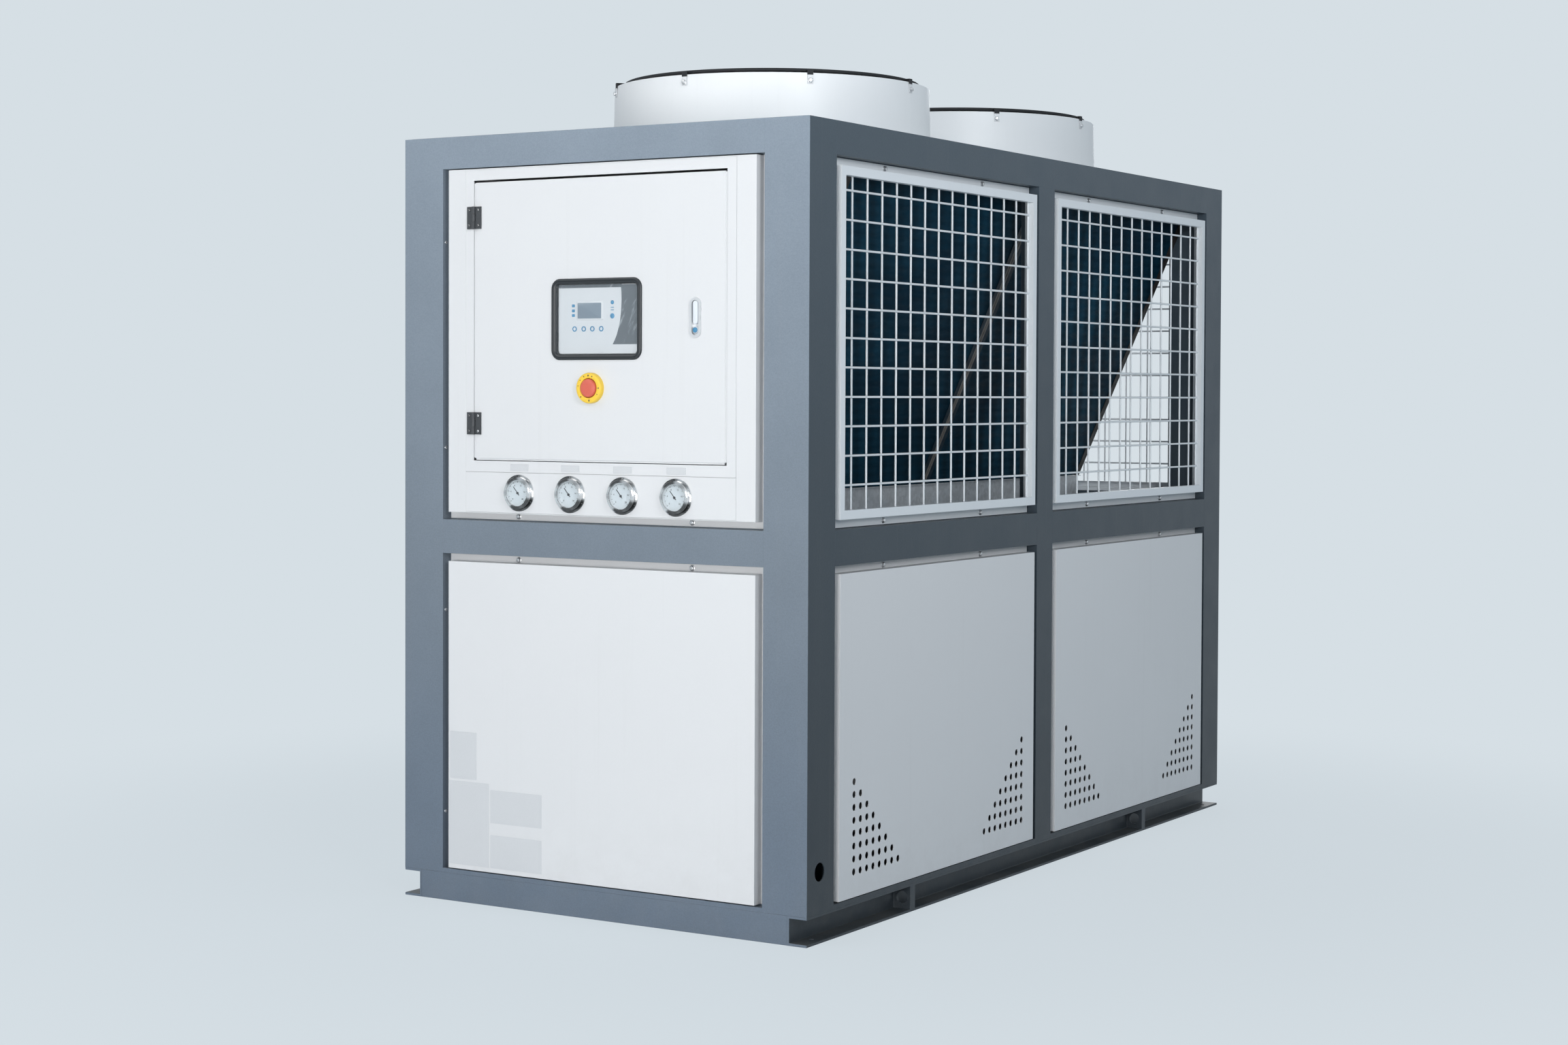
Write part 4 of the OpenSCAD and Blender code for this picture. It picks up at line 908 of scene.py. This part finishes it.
# rubber seal round the window, clipped over the door's sheet
windowSeal = {"width": 0.251, "height": 0.186, "round": 0.023, "section": (
    (0, 0), (0, 0.0022), (0.001, 0.004), (0.003, 0.005), (0.0054, 0.0048), (0.0062, 0.004), (0.007, 0.0047),
    (0.0098, 0.0043), (0.0118, 0.003), (0.0126, 0.0012), (0.0126, -0.006), (0, -0.006), (0, -0.0021),
    (0.0064, -0.0021), (0.0064, 0))}


def windowTrim():
    bm = bmesh.new()
    outline = roundedBox(windowSeal["width"], windowSeal["height"], windowSeal["round"], 10)
    trimRing(bm, placeOn("front", 0, doorMid, faceDepth), outline, windowSeal["section"])
    seal = piece("window_seal", "door", gasketRubber, bm, 35)
    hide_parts("window_gasket")


windowTrim()

# stop button: a low mushroom head whose skirt covers the collar, in a yellow cup with small marks round it
stopButton = {
    "across": -0.014, "down": 0.157, "markAt": 0.0285, "top": 0.0130,
    "head": ((0, -0.006), (0.0079, -0.006), (0.0079, 0.0135), (0.018, 0.0135), (0.018, 0.008),
             (0.0186, 0.0075), (0.0204, 0.0076), (0.021, 0.0086), (0.0212, 0.0105), (0.0208, 0.0135),
             (0.0196, 0.0158), (0.0176, 0.0170), (0.0168, 0.0168), (0.0155, 0.0174), (0.010, 0.0179),
             (0, 0.0181)),
    "cup": ((0.0115, 0), (0.035, 0), (0.035, 0.0085), (0.0346, 0.0108), (0.0334, 0.0124), (0.0316, 0.013),
            (0.0248, 0.013), (0.0232, 0.0126), (0.0226, 0.0114), (0.0226, 0.002), (0.0115, 0.002),
            (0.0115, 0)),
    "marks": ((90, 0.0042, 0.0034), (68, 0.0034, 0.0024), (115, 0.003, 0.002), (142, 0.0026, 0.0018),
              (170, 0.0026, 0.0018), (225, 0.0034, 0.0024), (275, 0.004, 0.003), (0, 0.0034, 0.0026),
              (330, 0.003, 0.0016)),  # angle, length, width
}


def stopTrim():
    place = placeOn("front", stopButton["across"], doorMid - stopButton["down"], faceDepth)
    bm = bmesh.new()
    revolve(bm, place, stopButton["head"], 56)
    head = piece("stop_head", "stop_button", stopRed, bm, 50)
    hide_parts("stop_button")
    bm = bmesh.new()
    revolve(bm, place, stopButton["cup"], 64)
    mergeDoubles(bm)
    cup = piece("stop_cup", "door", stopYellow, bm, 50)
    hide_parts("stop_disc")
    bm = bmesh.new()
    top = place @ Matrix.Translation((0, 0, stopButton["top"]))
    outward = Matrix.Translation((stopButton["markAt"], 0, 0))
    for angle, long, wide in stopButton["marks"]:
        spin = Matrix.Rotation(math.radians(angle), 4, "Z")
        stack(bm, top @ spin @ outward, roundedBox(long, wide, wide * 0.3, 3),
              [(0, -0.0003), (0, 0.0002), (0.0002, 0.0003)])
    piece("stop_marks", "door", inkBlack, bm, 30)


stopTrim()

# controller's face behind the window, with spots as (across, up) and sizes as (width, height, rounding)
controller = {
    "behind": 0.0075, "plate": (0.222, 0.158, 0.008),
    # the dark band along the top of the face is a painted shadow
    "shadowBandAt": (-0.0215, 0.07525), "shadowBand": (0.176, 0.0075, 0.001), "fieldRight": 0.1095,
    "fieldArc": ((0.064, 0.0775), (0.0655, 0.060), (0.066, 0.042), (0.065, 0.020), (0.0625, 0.0),
                 (0.0585, -0.018), (0.053, -0.036), (0.046, -0.050), (0.0415, -0.0575)),
    "displayAt": (-0.0225, 0.0195), "display": (0.066, 0.0355, 0.0015), "displayRim": (0.074, 0.0435, 0.003),
    "keyAt": [(across, -0.022) for across in (-0.065, -0.0393, -0.0152, 0.0097)],
    "keyRing": ((0.0038, 0.0006), (0.0062, 0.0006), (0.0062, 0.002), (0.0056, 0.0026), (0.0044, 0.0026),
                (0.0038, 0.002), (0.0038, 0.0006)),
    "barAt": ((0.0403, 0.0262), (0.0403, 0.0205)), "bar": (0.0085, 0.0016, 0.0006),
    "ledAt": [(-0.0685, up) for up in (0.031, 0.0195, 0.009)], "led": (0.008, 0.0065, 0.0015),
    "dots": ((0.0403, 0.0376, 0.0046), (0.0403, 0.0068, 0.006)),  # across, up, radius
}


def arcField(inset):  # dark field to the right of a shallow arc, the same at any inset
    right, arc = controller["fieldRight"], controller["fieldArc"]
    return [(right, arc[-1][1]), (right, arc[0][1]), *arc]


def controllerFace():
    place = placeOn("front", 0, doorMid, faceDepth + controller["behind"])

    def at(spot):
        return place @ Matrix.Translation((*spot, 0))

    pale = bmesh.new()
    stack(pale, place, roundedBox(*controller["plate"]), [(0, -0.0005), (0, 0.0006), (0.0006, 0.0012)])
    stack(pale, at(controller["displayAt"]), roundedBox(*controller["displayRim"]),
          [(0, 0.0008), (0, 0.0022), (0.001, 0.0028)])
    piece("controller_face", "door", facePale, pale)
    dark = bmesh.new()
    stack(dark, place, arcField, [(0, 0.0008), (0, 0.0017)])
    # dark band along the top of the face: painted shadow
    stack(dark, at(controller["shadowBandAt"]), roundedBox(*controller["shadowBand"], 2), [(0, 0.0008), (0, 0.0016)])
    piece("controller_trim", "door", faceDark, dark)
    glass = bmesh.new()
    stack(glass, at(controller["displayAt"]), roundedBox(*controller["display"]),
          [(0, 0.002), (0, 0.0031), (0.0006, 0.0034)])
    piece("controller_display", "door", displayGrey, glass)
    keys = bmesh.new()
    for spot in controller["keyAt"]:
        revolve(keys, at(spot), controller["keyRing"])
    for spot in controller["barAt"]:
        stack(keys, at(spot), roundedBox(*controller["bar"], 3),
              [(0, 0.0006), (0, 0.0015), (0.0002, 0.0017)])
    for spot in controller["ledAt"]:
        stack(keys, at(spot), roundedBox(*controller["led"], 3),
              [(0, 0.0006), (0, 0.0018), (0.0004, 0.0022)])
    for across, up, radius in controller["dots"]:
        revolve(keys, at((across, up)),
                [(0, 0.0006), (radius, 0.0006), (radius, 0.0016), (radius * 0.6, 0.0028), (0, 0.003)])
    mergeDoubles(keys)
    piece("controller_keys", "door", keyBlue, keys)


controllerFace()

# lever and push button in the lock's recess, heights from the lock's face
lock = {"lever": (0.0135, 0.052), "leverUp": 0.012, "buttonUp": -0.0275,
        "leverEdge": ((0, -0.0075), (0, -0.0022), (0.0008, -0.001), (0.003, -0.0004)),
        "collar": ((0, -0.0075), (0.0078, -0.0075), (0.0078, -0.002), (0.0068, -0.0008), (0.0062, -0.0018),
                   (0, -0.0018)),
        "button": ((0, -0.002), (0.0058, -0.002), (0.0058, 0), (0.00464, 0.0008), (0, 0.001))}


def lockTrim():
    low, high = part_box("door_lock")
    middle = (low + high) / 2
    depth = halfLong + low.y
    width, height = lock["lever"]
    button = placeOn("front", middle.x, middle.z + lock["buttonUp"], depth)
    bm = bmesh.new()
    stack(bm, placeOn("front", middle.x, middle.z + lock["leverUp"], depth),
          roundedBox(width, height, width * 0.48, 8), lock["leverEdge"])
    revolve(bm, button, lock["collar"])
    piece("lock_lever", "door", shellPlastic, bm)
    key = bmesh.new()
    revolve(key, button, lock["button"])
    piece("lock_button", "door", keyBlue, key)


lockTrim()
print("door fitted")

# copper return bends at the coils' ends
bends = {"pipe": 0.0048, "rows": (0.018, 0.036), "reach": 0.017, "root": 0.004, "margin": 0.03, "sides": 8,
         "steps": 10}


def uBend(bm, centre, run, out):
    half = coils["tubePitch"] / 2
    path = [centre - run * half - out * bends["root"]]
    for k in range(bends["steps"] + 1):
        turn = math.pi * k / bends["steps"]
        ahead = bends["reach"] - half + half * math.sin(turn)
        path.append(centre + out * ahead - run * half * math.cos(turn))
    path.append(centre + run * half - out * bends["root"])
    across = run.cross(out).normalized()
    rings = []
    for n, spot in enumerate(path):
        along = (path[min(n + 1, len(path) - 1)] - path[max(n - 1, 0)]).normalized()
        side = along.cross(across).normalized()
        rings.append([bm.verts.new(spot + across * x + side * y)
                      for x, y in ringOf(bends["sides"], bends["pipe"])(0)])
    joinRings(bm, rings)
    capRings(bm, rings)


def returnBends():
    bm = bmesh.new()
    low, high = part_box("right_coils")
    lean, thick, pitch = coils["lean"], coils["thick"], coils["tubePitch"]
    slope = Vector((math.sin(lean), 0, math.cos(lean)))
    outward = Vector((math.cos(lean), 0, -math.sin(lean)))
    length = (high.z - low.z - thick * math.sin(lean)) / math.cos(lean)
    count = int((length - 2 * bends["margin"]) / (2 * pitch))
    outerFoot = Vector((low.x + thick * math.cos(lean), 0, low.z))
    for mirror in (1, -1):
        run = Vector((slope.x * mirror, 0, slope.z))
        for end, way in ((low.y, -1), (high.y, 1)):
            for row, inset in enumerate(bends["rows"]):
                for k in range(count):
                    along = bends["margin"] + pitch * (2 * k + row % 2 + 0.5)
                    spot = outerFoot + slope * along - outward * inset
                    uBend(bm, Vector((spot.x * mirror, end, spot.z)), run, Vector((0, way, 0)))
    piece("coil_return_bends", "chiller", bentCopper, bm)


returnBends()
print("coils finished")

# studio: pale floor and backdrop, even light from all round, soft lamps before, beside, above and behind
studio = {"backdrop": (0.672, 0.738, 0.783), "around": (0.27, 0.318, 0.358), "floor": (0.70, 0.765, 0.81),
          "fadeFrom": 1.2, "fadeTo": 3.2, "near": 0.83, "floorHalf": 40.0}
lamps = {  # place, aim, size across and up, watts, spread in degrees, colour
    "keyLamp": ((-2.0, -4.7, 4.3), (0, -0.6, 1.4), (3.0, 2.6), 60.0, 180, (1.0, 0.97, 0.95)),
    "fillLamp": ((1.1, -6.4, 0.7), (0, -0.8, 0.95), (3.0, 1.4), 136.0, 180, (1.0, 0.98, 0.96)),
    "sideLamp": ((5.2, -4.2, 2.9), (0.2, 0, 2.5), (2.2, 2.0), 31.0, 70, (0.97, 0.985, 1.0)),
    "roofLamp": ((0.2, 0.2, 5.5), (0, 0, 1.6), (4.5, 4.5), 14.0, 180, (0.96, 0.98, 1.0)),
    "rearLamp": ((-2.6, 6.0, 3.0), (0, 0.6, 1.1), (3.0, 2.6), 85.0, 180, (0.98, 0.99, 1.0)),
}


def seenRays(tree):  # rays that show a thing itself, straight, mirrored or through glass
    rays = addNode(tree, "LightPath").outputs
    direct = calc(tree, "MAXIMUM", rays["Is Camera Ray"], rays["Is Glossy Ray"])
    return calc(tree, "MAXIMUM", direct, rays["Is Transmission Ray"])


def makeWorld():
    world = bpy.data.worlds.new("studioWorld")
    bpy.context.scene.world = world
    world.use_nodes = True
    tree = world.node_tree
    tree.nodes.clear()
    around = addNode(tree, "Background", {"Color": (*studio["around"], 1), "Strength": 1.0})
    backdrop = addNode(tree, "Background", {"Color": (*studio["backdrop"], 1), "Strength": 1.0})
    mixed = addNode(tree, "MixShader", (seenRays(tree), around.outputs[0], backdrop.outputs[0]))
    addNode(tree, "OutputWorld", {"Surface": mixed.outputs[0]})


def makeFloor():  # partly lit near the unit, so that it takes a soft shadow, plain backdrop far out
    bm = bmesh.new()
    bmesh.ops.create_grid(bm, x_segments=8, y_segments=8, size=studio["floorHalf"])
    mesh = bpy.data.meshes.new("studioFloor")
    bm.to_mesh(mesh)
    bm.free()
    floor = bpy.data.objects.new("studioFloor", mesh)
    bpy.context.scene.collection.objects.link(floor)
    material, tree, shader = newMaterial("paleFloor", Roughness=1.0, Specular_IOR_Level=0.0,
                                         Base_Color=(*studio["floor"], 1))
    far = addNode(tree, "VectorMath", (objectCoords(tree),), operation="LENGTH").outputs["Value"]
    fade = ramp(tree, far, studio["fadeFrom"], studio["fadeTo"], studio["near"], 1.0)
    shown = times(tree, seenRays(tree), fade)
    glow = addNode(tree, "Emission", {"Color": (*studio["backdrop"], 1), "Strength": 1.0})
    mixed = addNode(tree, "MixShader", (shown, shader.outputs[0], glow.outputs[0]))
    link(tree, tree.nodes["Material Output"].inputs, Surface=mixed.outputs[0])
    mesh.materials.append(material)


def makeLamp(name, place, aim, size, watts, spread, colour):
    data = bpy.data.lights.new(name, "AREA")
    data.shape, data.size, data.size_y = "RECTANGLE", *size
    data.energy, data.color, data.spread = watts, colour, math.radians(spread)
    lamp = bpy.data.objects.new(name, data)
    bpy.context.scene.collection.objects.link(lamp)
    lamp.location = place
    lamp.visible_camera = False
    lamp.rotation_euler = (Vector(aim) - Vector(place)).to_track_quat("-Z", "Y").to_euler()


makeWorld()
makeFloor()
for name, settings in lamps.items():
    makeLamp(name, *settings)
print("studio lit")
